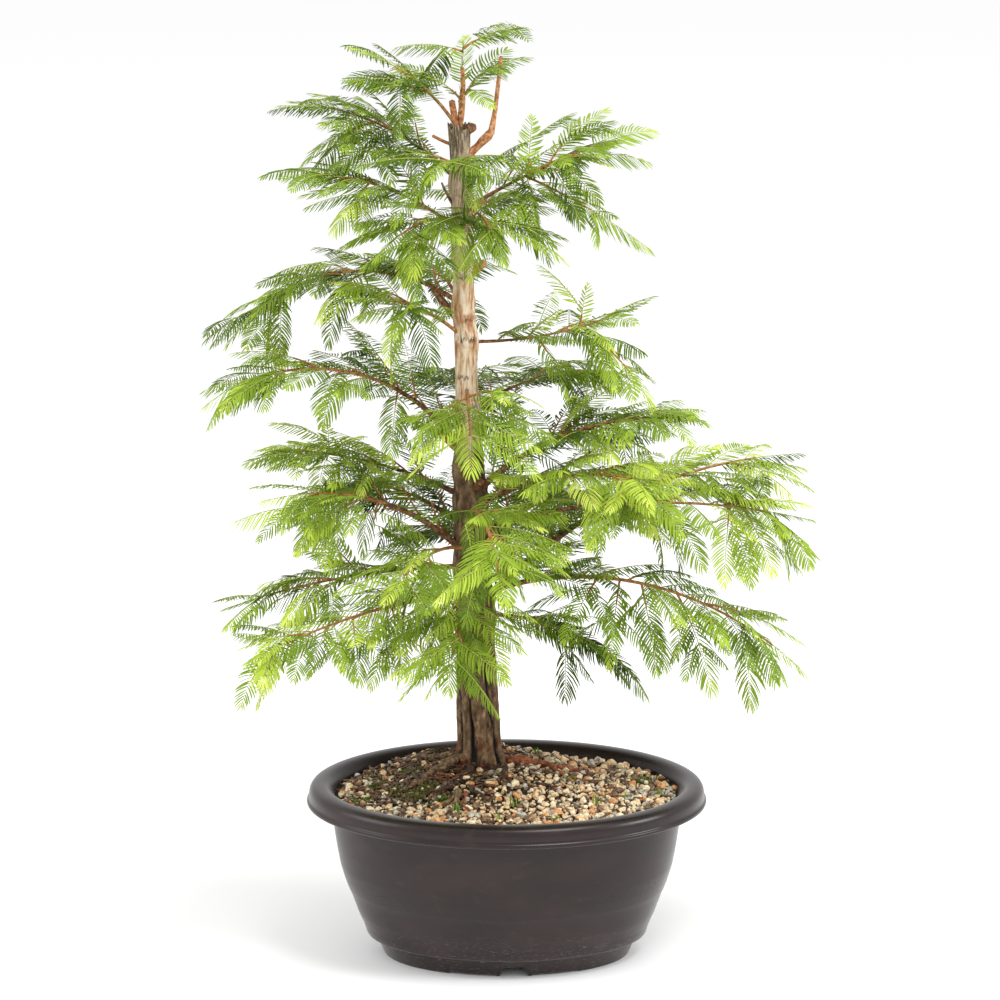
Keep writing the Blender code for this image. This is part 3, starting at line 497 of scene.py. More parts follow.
# ---- Soil
def soil_height(x, y):
    away = np.hypot(x - TRUNK_X, y - TRUNK_Y)
    share = np.clip((away - MOUND_FLAT) / (MOUND_REACH - MOUND_FLAT), 0, 1)
    return MOUND_TOP - (MOUND_TOP - SOIL_EDGE) * share * share * (3 - 2 * share)


SOIL_HALF_WIDTH = 0.1088
SOIL_HALF_DEPTH = SOIL_HALF_WIDTH - POT_OVAL
SOIL_RINGS = 60
SOIL_SIDES = 180
FINES_SUNK = 0.0012
FINES_ROUGH = 0.0018
SKIRT = 0.012


def make_soil_base():
    """The dark fines under the stones, as one crumbly skin down to the wall."""
    turns = circle(SOIL_SIDES)
    rows = []
    for i in range(SOIL_RINGS):
        share = max(i / (SOIL_RINGS - 1), 0.004)
        x = SOIL_HALF_WIDTH * share * np.cos(turns)
        y = SOIL_HALF_DEPTH * share * np.sin(turns)
        z = soil_height(x, y) - FINES_SUNK
        z = z + FINES_ROUGH * (layered(stacked(x, y, z) * 260, 3, 5) - 0.5)
        rows.append(stacked(x, y, z))
    skirt = rows[-1].copy()
    skirt[:, 2] -= SKIRT
    rows.append(skirt)
    soil = mesh_object("soil_fines", np.concatenate(rows), grid_faces(len(rows), SOIL_SIDES)[:, ::-1],
                       ground_material())
    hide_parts("soil")
    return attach(soil, "root")


def rock():
    """A unit pebble's vertices and triangles."""
    body = bmesh.new()
    bmesh.ops.create_icosphere(body, subdivisions=2, radius=1.0)
    verts = np.array([v.co for v in body.verts])
    faces = np.array([[v.index for v in f.verts] for f in body.faces])
    body.free()
    return verts, faces


# Pitch, and the smallest and largest half size, of each layer of stones
STONE_LAYERS = ((0.0040, 0.0015, 0.0026), (0.0068, 0.0024, 0.0044))
STONE_FLATS = 7
STONE_SHARP = 34
# Name, dark, middle and light colour, share, and how far litter raises or lowers that share
STONES = (
    ("stone_cream", (176, 150, 112), (236, 213, 172), (255, 252, 236), 0.31, -0.35),
    ("stone_tan", (158, 122, 83), (226, 193, 150), (252, 231, 196), 0.28, 0),
    ("stone_ochre", (142, 84, 46), (216, 152, 96), (246, 198, 142), 0.09, 0),
    ("stone_grey", (110, 102, 91), (180, 172, 158), (230, 222, 208), 0.18, 0),
    ("stone_brown", (62, 44, 32), (118, 88, 63), (172, 137, 103), 0.14, 3),
)


def mulch_share(x, y):
    """How much dark bark litter covers the stones: thick behind and to the left of the trunk."""
    spot = np.exp(-(((x + 0.062) / 0.030) ** 2 + ((y + 0.004) / 0.026) ** 2))
    near = np.exp(-(((x - TRUNK_X + 0.024) / 0.026) ** 2 + ((y - TRUNK_Y + 0.026) / 0.022) ** 2))
    back = np.exp(-(((x + 0.040) / 0.050) ** 2 + ((y - 0.045) / 0.020) ** 2))
    return np.clip(0.72 * spot + 0.66 * near + 0.8 * back, 0, 1)


# Rows of a triangular grid, as a share of its pitch
ROW_SHARE = 0.866
CLEAR_OF_WALL = 0.0022
CLEAR_OF_TRUNK = 0.0165


def scatter(rng, pitch, jitter):
    """Places on the soil in a shaken triangular grid, clear of the wall and the trunk."""
    rows = int(2 * SOIL_HALF_DEPTH / (pitch * ROW_SHARE)) + 2
    columns = int(2 * SOIL_HALF_WIDTH / pitch) + 2
    i, j = np.meshgrid(np.arange(rows), np.arange(columns), indexing="ij")
    x = (j + 0.5 * (i % 2) - columns / 2) * pitch
    y = (i - rows / 2) * pitch * ROW_SHARE
    x = (x + rng.uniform(-jitter, jitter, x.shape)).ravel()
    y = (y + rng.uniform(-jitter, jitter, y.shape)).ravel()
    width, depth = SOIL_HALF_WIDTH - CLEAR_OF_WALL, SOIL_HALF_DEPTH - CLEAR_OF_WALL
    inside = (x / width) ** 2 + (y / depth) ** 2 < 1
    keep = inside & (np.hypot(x - TRUNK_X, y - TRUNK_Y) > CLEAR_OF_TRUNK)
    return x[keep], y[keep]


def turned(rng, count):
    """Random rotation matrices, shape (count, 3, 3)."""
    w, x, y, z = unit(rng.normal(size=(count, 4))).T
    return stacked(
        1 - 2 * (y * y + z * z), 2 * (x * y - z * w), 2 * (x * z + y * w),
        2 * (x * y + z * w), 1 - 2 * (x * x + z * z), 2 * (y * z - x * w),
        2 * (x * z - y * w), 2 * (y * z + x * w), 1 - 2 * (x * x + y * y)).reshape(-1, 3, 3)


def make_stones():
    rng = np.random.default_rng(7)
    pebble, triangles = rock()
    piles = [Pile() for _ in STONES]
    shares, changes = np.array([stone[-2:] for stone in STONES]).T
    for layer, (pitch, small, large) in enumerate(STONE_LAYERS):
        xs, ys = scatter(rng, pitch, 0.30 * pitch)
        spins = turned(rng, len(xs))
        for x, y, spin in zip(xs, ys, spins):
            mulch = mulch_share(x, y)
            if rng.random() < 0.42 * mulch + 0.02:
                continue
            size = rng.uniform(small, large) * (1 - 0.25 * mulch)
            shape = pebble * rng.uniform(0.55, 1.05, 3)
            dents = layered(pebble * 1.3 + rng.uniform(0, 50, 3), 2)[:, None]
            shape = shape * (0.72 + 0.56 * dents)
            for flat in unit(rng.normal(size=(STONE_FLATS, 3))):
                out = shape @ flat
                shape = shape - np.clip(out - rng.uniform(0.32, 0.56), 0, None)[:, None] * flat
            body = shape @ spin.T * size
            body[:, 2] *= 0.8
            z = soil_height(x, y) - 0.0004 + rng.uniform(-0.0006, 0.0004) + 0.0009 * layer
            weights = shares * (1 + changes * mulch)
            pick = rng.choice(len(STONES), p=weights / weights.sum())
            piles[pick].add(body + (x, y, z), triangles)
    for pile, (name, *colours, _, _) in zip(piles, STONES):
        stones = pile.make(name, stone_material(name, *colours))
        stones.data.set_sharp_from_angle(angle=math.radians(STONE_SHARP))
        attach(stones, "root")


def ribbon(points, widths, up):
    """A flat tapering strip of quads along a line."""
    points = np.asarray(points)
    ahead = np.gradient(points, axis=0)
    side = unit(np.cross(up, ahead), 1e-12) * np.asarray(widths)[:, None]
    count = len(points)
    i = np.arange(count - 1)
    return np.concatenate([points - side, points + side]), stacked(i, i + 1, count + i + 1, count + i)


def make_litter():
    """Bark flakes among the stones, brown and reddish."""
    rng = np.random.default_rng(11)
    dark, red = Pile(), Pile()
    xs, ys = scatter(rng, 0.0034, 0.0014)
    for x, y in zip(xs, ys):
        mulch = mulch_share(x, y)
        if rng.random() > 0.10 + 0.80 * mulch:
            continue
        turn = rng.uniform(0, 2 * math.pi)
        long = rng.uniform(0.002, 0.0055) * (1 + 0.8 * (rng.random() < 0.2))
        steps = np.linspace(-1, 1, 5)
        aside = rng.uniform(-0.25, 0.25) * long
        line = stacked(
            x + math.cos(turn) * steps * long - math.sin(turn) * aside * steps ** 2,
            y + math.sin(turn) * steps * long + math.cos(turn) * aside * steps ** 2,
            np.zeros(5))
        lift = rng.uniform(0.0004, 0.0018)
        line[:, 2] = soil_height(line[:, 0], line[:, 1]) + lift + rng.uniform(-0.2, 0.2) * steps * long
        wide = rng.uniform(0.0003, 0.0011)
        pile = red if rng.random() < 0.25 else dark
        pile.add(*solid_strip(line, wide * np.array([0.4, 1, 1, 0.9, 0.3]), 0.0004))
    for pile, name, colours in (
            (dark, "bark_litter", ((38, 26, 19), (88, 65, 46), (142, 114, 86))),
            (red, "red_litter", ((56, 32, 21), (104, 64, 42), (156, 108, 76)))):
        litter = pile.make(name, stone_material(name, *colours))
        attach(litter, "root")


def solid_strip(points, widths, thick):
    """A flat bar with some thickness along a line, closed."""
    verts, _ = ribbon(points, widths, np.array([0.0, 0.0, 1.0]))
    count = len(points)
    lower = verts - (0, 0, thick)
    rings = np.stack([verts[:count], verts[count:], lower[count:], lower[:count]], 1).reshape(-1, 3)
    ends = np.array([[3, 2, 1, 0], [4 * count - 4, 4 * count - 3, 4 * count - 2, 4 * count - 1]])
    return rings, np.concatenate([grid_faces(count, 4), ends])


Sprig = namedtuple("Sprig", "x y blades height")
SPRIGS = rows_of(
    Sprig, (MM, MM, 1, MM),
    (-58, -18, 26, 5), (-71, -8, 30, 4), (-50, -8, 22, 4), (-83, 10, 24, 4), (-64, 20, 26, 4),
    (-30, -46, 12, 8), (4, -34, 9, 7), (58, -30, 10, 11), (88, 20, 16, 6), (40, 12, 7, 6), (76, -16, 8, 5),
    (-90, -20, 16, 4), (30, -60, 8, 7), (20, 56, 14, 5), (-45, 55, 18, 4), (-4, -58, 6, 6), (96, -10, 9, 6),
    (-40, -26, 18, 4))
MOSS_BLADES = 14


def make_moss():
    """Tufts of moss and small weeds between the stones."""
    rng = np.random.default_rng(23)
    moss, weed = Pile(), Pile()
    for sprig in SPRIGS:
        mossy = sprig.blades > MOSS_BLADES
        for _ in range(sprig.blades * (7 if mossy else 1)):
            spread = 0.0065 if mossy else 0.0030
            x = sprig.x + rng.normal() * spread * 0.6
            y = sprig.y + rng.normal() * spread * 0.6
            turn = rng.uniform(0, 2 * math.pi)
            tall = sprig.height * rng.uniform(0.45, 1.0) * (0.55 if mossy else 1.0)
            lean = tall * rng.uniform(0.15, 0.6)
            t = np.linspace(0, 1, 4)
            base = soil_height(x, y)
            line = stacked(x + math.cos(turn) * lean * t ** 1.6, y + math.sin(turn) * lean * t ** 1.6,
                           base + 0.0002 + tall * t)
            wide = (0.00035 if mossy else 0.00048) * np.array([0.8, 1.0, 0.7, 0.05])
            facing = np.array([math.cos(turn), math.sin(turn), 0.2])
            (moss if mossy else weed).add(*ribbon(line, wide, facing))
    for pile, name, colour in ((moss, "moss", (92, 112, 30)), (weed, "weeds", (118, 148, 62))):
        green = pile.make(name, needle_material(name, colour))
        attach(green, "root")


# ---- Trunk
TRUNK_SIDES = 168
TRUNK_ROWS = 420
TRUNK_SUNK = 0.0035
# The rows lie closer below this height, where the bark is furrowed
FURROWED_TO = 0.215
OLD_BARK_TOP = 0.350
OLD_BARK_FADE = 0.17
RAGGED_FROM = 0.512
# The worn cut top: share of the radius and depth of each of its rings, and how much painted shade darkens
# each, most in the middle of the hollow
HOLLOW = ((0.86, 0.0002), (0.70, 0.0024), (0.50, 0.0044), (0.28, 0.0054), (0.04, 0.0058))
HOLLOW_SHADE = (0.1, 0.45, 0.8, 0.9, 0.9)
COLLAR_HEIGHT = 0.0085
COLLAR_TURN = 0.62
FLARE_FOOT = 0.1135
FLARE_HEIGHT = 0.016


def trunk_axis(height):
    rise = np.clip((height - TRUNK_FOOT) / (TRUNK_TOP - TRUNK_FOOT), 0, 1)
    return TRUNK_X + TRUNK_LEAN * rise ** LEAN_CURVE, TRUNK_Y


Furrow = namedtuple("Furrow", "depth width line")
# Deep furrows of the old bark: depth, width in degrees, and the heights and azimuths that each runs through
FURROWS = [Furrow(depth / TENTHS, width, [(height / MM, azimuth) for height, azimuth in line])
           for depth, width, *line in (
    (21, 8, (112, 255), (150, 250), (178, 243), (200, 241)),
    (19, 7, (112, 323), (135, 321), (154, 303), (168, 277), (190, 264)),
    (13, 6, (150, 304), (175, 300), (215, 296), (240, 299)),
    (18, 7, (112, 8), (140, 2), (175, -6), (205, -10)),
    (20, 8, (112, 50), (145, 58), (190, 62), (220, 60)),
    (16, 7, (112, 104), (150, 98), (185, 106), (215, 110)),
    (20, 8, (112, 152), (140, 150), (170, 142), (210, 138)),
    (17, 7, (112, 204), (145, 209), (180, 204), (215, 200)))]
Knot = namedtuple("Knot", "height azimuth size")
KNOTS = rows_of(
    Knot, (MM, 1, TENTHS),
    (397, 284, 26), (352, 214, 24), (354, 322, 26), (436, 262, 22), (462, 236, 20), (372, 250, 16),
    (418, 40, 24), (384, 120, 24), (330, 90, 28), (446, 150, 20), (408, 304, 15), (300, 20, 28),
    (186, 286, 22), (236, 258, 26))


def trunk_radius(height):
    return np.interp(height, *zip(*TRUNK_TAPER))


def trunk_noise(turn, height, around, up, octaves, seed):
    """Noise on the trunk's skin."""
    return layered(stacked(np.cos(turn) * around, np.sin(turn) * around, height * up), octaves, seed)


def off_azimuth(turn, degrees):
    """Signed turn from an azimuth, in radians."""
    return (turn - np.radians(degrees) + math.pi) % (2 * math.pi) - math.pi


def relief(turn, height):
    """How far the bark stands in from the trunk's radius, and how dark it is painted: painted shade in the
    furrows, cracks and knot creases, and the knots' own dark centres.
    """
    wander = 0.26 * (trunk_noise(turn, height, 3, 70, 3, 31) - 0.5)
    depth = np.zeros_like(turn)
    groove = np.zeros_like(turn)
    for furrow in FURROWS:
        at, azimuth = zip(*furrow.line)
        off = off_azimuth(turn, np.interp(height, at, azimuth)) + wander
        share = np.clip((height - at[0]) / (at[-1] - at[0]), 0, 1)
        width = math.radians(furrow.width) * (0.42 + 0.95 * (1 - share) ** 3)
        fade = (1 - share) ** 0.8 * (height >= at[0])
        if at[0] > TRUNK_FOOT:
            fade = np.sin(math.pi * share) * (height >= at[0])
        sharp = np.exp(-(off / width) ** 2)
        broad = np.exp(-(off / (2.8 * width)) ** 2)
        depth = np.maximum(depth, fade * furrow.depth * (0.95 * sharp + 0.62 * broad))
        groove = np.maximum(groove, fade ** 0.45 * (1.05 * sharp + 0.16 * broad))
    low = np.clip((OLD_BARK_TOP - height) / OLD_BARK_FADE, 0, 1) ** 0.6
    ridged = 1 - np.abs(2 * trunk_noise(turn + 2 * wander, height, 6, 34, 3, 41) - 1)
    cracks = np.clip((ridged - 0.86) / 0.14, 0, 1)
    fine = trunk_noise(turn, height, 13, 130, 3, 53) - 0.5
    flutes = trunk_noise(turn, height, 2.4, 14, 2, 61) - 0.5
    depth = depth + cracks * (0.00015 + 0.0007 * low) - fine * (0.0003 + 0.0007 * low)
    depth = depth - flutes * (0.0010 + 0.0012 * low)
    groove = np.maximum(groove, cracks * (0.16 + 0.34 * low))
    for knot in KNOTS:
        radius = trunk_radius(knot.height)
        up = (height - knot.height) / knot.size
        side = off_azimuth(turn, knot.azimuth) * radius / knot.size
        far = np.hypot(0.7 * side, up + 0.25 * side ** 2) + 2.4 * fine
        depth = depth - 0.0011 * np.exp(-((far - 0.5) / 0.8) ** 2)
        crease = np.exp(-((far - 1.15) / 0.34) ** 2) * np.clip(0.35 - 0.8 * up, 0, 1)
        depth = depth + 0.0007 * crease
        groove = np.maximum(groove, 0.75 * crease + 0.42 * np.exp(-(far / 0.45) ** 2))
    return depth, np.clip(groove, 0, 1)


def collars(turn, height):
    """Swellings of the trunk where its boughs leave."""
    out = np.zeros_like(turn)
    for spec in LIMBS:
        if spec.bare:
            off = off_azimuth(turn, spec.azimuth)
            up = (height - spec.height) / COLLAR_HEIGHT
            out = np.maximum(out, 0.0019 * np.exp(-(off / COLLAR_TURN) ** 2 - (up + 0.4 * np.abs(off)) ** 2))
    return out * (height < TRUNK_TOP - 0.012)


def flare(turn, height):
    """The low buttresses that run out to the surface roots."""
    near = np.clip(1 - (height - FLARE_FOOT) / FLARE_HEIGHT, 0, 1) ** 2.4
    out = np.zeros_like(turn)
    for root in ROOTS:
        out += np.exp(-(off_azimuth(turn, root.azimuth) / 0.30) ** 2) * 0.0042 * root.radius / 0.0034
    return near * (out + 0.0008)


def make_trunk():
    heights = np.concatenate([
        np.linspace(TRUNK_FOOT - TRUNK_SUNK, FURROWED_TO, int(TRUNK_ROWS * 0.42), endpoint=False),
        np.linspace(FURROWED_TO, TRUNK_TOP, int(TRUNK_ROWS * 0.58))])
    turns = circle(TRUNK_SIDES)
    height, turn = [a.ravel() for a in np.meshgrid(heights, turns, indexing="ij")]
    depth, groove = relief(turn, height)
    radius = trunk_radius(height) + 0.0004 - depth + flare(turn, height) + collars(turn, height)
    x, y = trunk_axis(height)
    ragged = trunk_noise(turn, height, 2.6, 0, 3, 71) - 0.72
    top = np.clip((height - RAGGED_FROM) / (TRUNK_TOP - RAGGED_FROM), 0, 1)
    z = height + 0.0085 * ragged * top ** 1.5
    rows = [stacked(x + radius * np.cos(turn), y + radius * np.sin(turn), z)]
    rim = rows[0][-TRUNK_SIDES:]
    middle = np.array([*trunk_axis(TRUNK_TOP), TRUNK_TOP])
    for share, sink in HOLLOW:
        ring = middle + (rim - middle) * share
        wear = layered(ring * 900, 2, 77)[:, None] * (0, 0, 0.0022)
        ring = ring * (1, 1, 0) + (0, 0, TRUNK_TOP - sink) + (rim - middle) * (0, 0, share) - wear
        rows.append(ring)
    verts = np.concatenate(rows)
    trunk = mesh_object("trunk_bark", verts, grid_faces(len(verts) // TRUNK_SIDES, TRUNK_SIDES),
                        MATERIALS["bark"])
    # Painted shade of the furrows, cracks, knot creases and hollow top, with the knots' own dark centres,
    # carried to the bark material.
    shade_and_knots_per_point = np.concatenate([groove, np.repeat(HOLLOW_SHADE, TRUNK_SIDES)])
    layer = trunk.data.attributes.new("groove", "FLOAT", "POINT")
    layer.data.foreach_set("value", shade_and_knots_per_point.astype(np.float32))
    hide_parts("trunk")
    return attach(trunk, "root")


# ---- Lines and tubes
def heading(azimuth, rise):
    a, e = math.radians(azimuth), math.radians(rise)
    return Vector((math.cos(a) * math.cos(e), math.sin(a) * math.cos(e), math.sin(e)))


def angles(direction):
    flat = math.hypot(direction.x, direction.y)
    return (math.degrees(math.atan2(direction.y, direction.x)),
            math.degrees(math.atan2(direction.z, flat)))


def arc(foot, azimuth, rise, droop, length, steps):
    points = [foot.copy()]
    for i in range(steps):
        slope = rise + droop * (0.5 - (i + 0.5) / steps)
        points.append(points[-1] + heading(azimuth, slope) * (length / steps))
    return points


def along(points, share):
    at = min(max(share, 0.0), 1.0) * (len(points) - 1)
    i = min(int(at), len(points) - 2)
    step = points[i + 1] - points[i]
    return points[i] + step * (at - i), step.normalized()


def stretch(points, start, end, steps):
    return [along(points, start + (end - start) * i / steps)[0] for i in range(steps + 1)]


def tube(points, radii, sides, lumps=0.0, seed=0):
    """A closed skin round a line, as arrays, with lumpy bark if asked."""
    points = np.array([tuple(p) for p in points])
    radii = np.asarray(radii, float)
    ahead = unit(np.gradient(points, axis=0), 1e-12)
    turns = circle(sides)
    rings = []
    side = np.array([0.0, 0.0, 1.0]) if abs(ahead[0, 2]) < 0.9 else np.array([1.0, 0.0, 0.0])
    for i, point in enumerate(points):
        side = side - ahead[i] * side.dot(ahead[i])
        side /= np.linalg.norm(side)
        other = np.cross(ahead[i], side)
        rings.append(point + (np.outer(np.cos(turns), side) + np.outer(np.sin(turns), other)) * radii[i])
    skin = np.concatenate(rings)
    if lumps:
        centre = np.repeat(points, sides, axis=0)
        swell = 1 + lumps * (layered(skin * 420 + seed, 2, 3) - 0.5) * 2
        skin = centre + (skin - centre) * swell[:, None]
    count = len(points)
    faces = grid_faces(count, sides)
    tip = points[-1] + ahead[-1] * radii[-1] * 0.6
    skin = np.vstack([skin, points[0] - ahead[0] * radii[0] * 0.3, tip])
    last = (count - 1) * sides
    i = np.arange(sides)
    j = (i + 1) % sides
    low = stacked(j, i, np.full(sides, count * sides))
    high = stacked(last + i, last + j, np.full(sides, count * sides + 1))
    return skin, np.concatenate([faces[:, [0, 1, 2]], faces[:, [0, 2, 3]], low, high])


def tapered(count, first, last):
    return [first + (last - first) * (i / (count - 1)) for i in range(count)]


# ---- The crown grows
FROND_LENGTH = 0.058
NEEDLE = 0.0138
NEEDLE_HALF_WIDTH = 0.00060
NEEDLE_PITCH = 0.00212
LEAST_NEEDLES = 6
# Where along a frond its needles are longest, and how far from it they open: shares of its length, degrees
LONGEST_AT = 0.42
NEEDLE_ANGLES = ((0, 0.5, 0.85, 1.0), (70, 60, 46, 24))
RACHIS_RADII = (0.00042, 0.00016)
FROND_PITCH = 0.0135
FROND_SPREAD = 52
FROND_DROOP = 27
NEEDLE_STATIONS = np.array([0.0, 0.14, 0.50, 0.82, 1.0])
NEEDLE_WIDTHS = np.array([0.0, 0.80, 1.0, 0.72, 0.0])
# The greens, from deep to yellow
TONE_COLOURS = ((54, 78, 14), (86, 112, 22), (114, 141, 35), (139, 166, 45), (170, 193, 64), (204, 220, 96))
# How far a frond may pass the solids' box, and its lowest height
MARGIN = 0.003
CLEAR_OF_SOIL = 0.131
# The cut top is bare in front between these heights, along a line of sight that slopes down this much
BARE_FROM = 0.510
BARE_TO = 0.536
BARE_HALF_WIDTH = 0.015
VIEW_SLOPE = 0.24
# The limbs that stay open to the front, and the stretch of each that does
OPEN_LIMBS = {"left_lower": (0.06, 0.50)}
OPEN_HALF_WIDTH = 0.0042


def needle_faces():
    """Eleven vertices: the root, three stations of left, rib and right, and the tip."""
    faces = [(0, 2, 1), (0, 3, 2)]
    for low in (1, 4):
        faces += [(low, low + 1, low + 4), (low, low + 4, low + 3)]
        faces += [(low + 1, low + 2, low + 5), (low + 1, low + 5, low + 4)]
    faces += [(7, 8, 10), (8, 9, 10)]
    return np.array(faces)


NEEDLE_FACES = needle_faces()


class Crown:
    """Everything that grows on the trunk, gathered by kind."""

    def __init__(self):
        self.piles = [Pile() for _ in TONE_COLOURS]
        self.rachis = Pile()
        self.wood = {kind: Pile() for kind in ("bough", "twig", "young", "root", "root_dark", "root_red")}
        self.count = 0

    def twig(self, points, radii, kind):
        sides, lumps = {"bough": (12, 0.16), "twig": (6, 0.10)}[kind]
        self.wood[kind].add(*tube(points, radii, sides, lumps, self.count))

    def frond(self, line, normal, size, tone, rng):
        """A feather: a thin rachis with curved, folded needles in two rows."""
        points = np.array([tuple(p) for p in line])
        if not within(points):
            return
        self.count += 1
        length = np.linalg.norm(np.diff(points, axis=0), axis=1).sum()
        per_side = max(LEAST_NEEDLES, int(0.90 * length / NEEDLE_PITCH))
        lift = math.radians(rng.uniform(-26, 12))
        hook = rng.uniform(0.08, 0.42)
        sag = rng.uniform(0.06, 0.42)
        size = size * rng.uniform(0.88, 1.20)
        shares = 0.09 + 0.91 * (np.arange(per_side) + 0.5) / per_side
        share = np.concatenate([shares, shares + 0.35 / per_side])
        hand = np.concatenate([-np.ones(per_side), np.ones(per_side)])
        share = np.clip(share + rng.normal(0, 0.10 / per_side, len(share)), 0, 0.999)
        at = share * (len(points) - 1)
        i = np.minimum(at.astype(int), len(points) - 2)
        part = (at - i)[:, None]
        step = np.diff(points, axis=0)
        root = points[i] + step[i] * part
        smooth = np.gradient(points, axis=0)
        ahead = unit(smooth[i] * (1 - part) + smooth[i + 1] * part)
        side = unit(np.cross(np.array(normal), ahead))
        up = np.cross(ahead, side)
        past = np.clip(share - LONGEST_AT, 0, None) / (1 - LONGEST_AT)
        grow = np.where(share < LONGEST_AT, 0.58 + 0.42 * np.sin(share / LONGEST_AT * math.pi / 2),
                        1 - 0.66 * past ** 1.7)
        reach = NEEDLE * size * grow * rng.uniform(0.90, 1.08, len(share))
        open_angle = np.radians(np.interp(share, *NEEDLE_ANGLES)) + rng.normal(0, 0.055, len(share))
        tilt = lift + rng.normal(0, 0.07, len(share))
        out = side * hand[:, None] * np.cos(tilt)[:, None] + up * np.sin(tilt)[:, None]
        direction = ahead * np.cos(open_angle)[:, None] + out * np.sin(open_angle)[:, None]
        face = unit(np.cross(direction, np.cross(up, direction)))
        spin = rng.normal(0, 0.28, len(share))[:, None]
        across = np.cross(face, direction)
        across = across * np.cos(spin) + face * np.sin(spin)
        face = np.cross(direction, across)
        u = NEEDLE_STATIONS[None, :, None]
        bend = (ahead * hook)[:, None, :] * u ** 2 - np.array([0, 0, 1.0]) * sag * u ** 2
        spine = root[:, None, :] + reach[:, None, None] * (direction[:, None, :] * (u - 0.12 * u ** 2) + bend)
        half = NEEDLE_HALF_WIDTH * (0.72 + 0.28 * grow)[:, None] * NEEDLE_WIDTHS[None, :]
        left = spine - across[:, None, :] * half[:, :, None]
        right = spine + across[:, None, :] * half[:, :, None]
        rib = spine - face[:, None, :] * half[:, :, None] * 0.32
        verts = np.concatenate([
            spine[:, :1],
            np.stack([left[:, 1:4], rib[:, 1:4], right[:, 1:4]], 2).reshape(len(share), 9, 3),
            spine[:, 4:]], 1)
        np.clip(verts[..., 2], None, HIGH[2] + MARGIN, out=verts[..., 2])
        faces = NEEDLE_FACES[None] + 11 * np.arange(len(share))[:, None, None]
        young = share > rng.uniform(0.78, 0.95)
        tone = min(max(tone, 0), len(self.piles) - 1)
        for chosen, level in ((~young, tone), (young, min(tone + 1, len(self.piles) - 1))):
            if chosen.any():
                kept = verts[chosen]
                self.piles[level].add(kept.reshape(-1, 3), faces[:len(kept)].reshape(-1, 3))
        self.rachis.add(*tube(line, tapered(len(line), *RACHIS_RADII), 3))


def within(points):
    """Whether a line keeps to the crown's reach, off the soil and out of the trunk."""
    if (points < LOW - MARGIN).any() or (points > HIGH + MARGIN).any():
        return False
    tail = points[3:]
    if tail[:, 2].min() < CLEAR_OF_SOIL:
        return False
    x, y = trunk_axis(tail[:, 2])
    away = np.hypot(tail[:, 0] - x, tail[:, 1] - y)
    radius = trunk_radius(tail[:, 2])
    ahead = TRUNK_Y - points[:, 1]
    seen = points[:, 2] - VIEW_SLOPE * ahead
    facing = (ahead > 0.004) & (np.abs(points[:, 0] - trunk_axis(TRUNK_TOP)[0]) < BARE_HALF_WIDTH)
    if (facing & (seen > BARE_FROM) & (seen < BARE_TO)).any():
        return False
    for line in OPEN_LINES:
        apart = np.hypot(points[:, None, 0] - line[None, :, 0], seen[:, None] - line[None, :, 2]
                         + VIEW_SLOPE * (TRUNK_Y - line[None, :, 1]))
        if ((apart < OPEN_HALF_WIDTH) & (points[:, None, 1] < line[None, :, 1] - 0.001)).any():
            return False
    return bool(((away > radius + 0.0015) | (tail[:, 2] > TRUNK_TOP + 0.002)).all())


def limb_line(spec):
    foot = Vector((*trunk_axis(spec.height), spec.height))
    return arc(foot, spec.azimuth, spec.rise, spec.droop, spec.length, 24)


OPEN_LINES = [np.array([tuple(p) for p in stretch(limb_line(spec), *OPEN_LIMBS[spec.name], 30)])
              for spec in LIMBS if spec.name in OPEN_LIMBS]


def shoot_normal(ahead):
    azimuth, _ = angles(ahead)
    return ahead.cross(heading(azimuth + 90, 0)).normalized()


def rolled(ahead, degrees):
    return Matrix.Rotation(math.radians(degrees), 3, ahead)


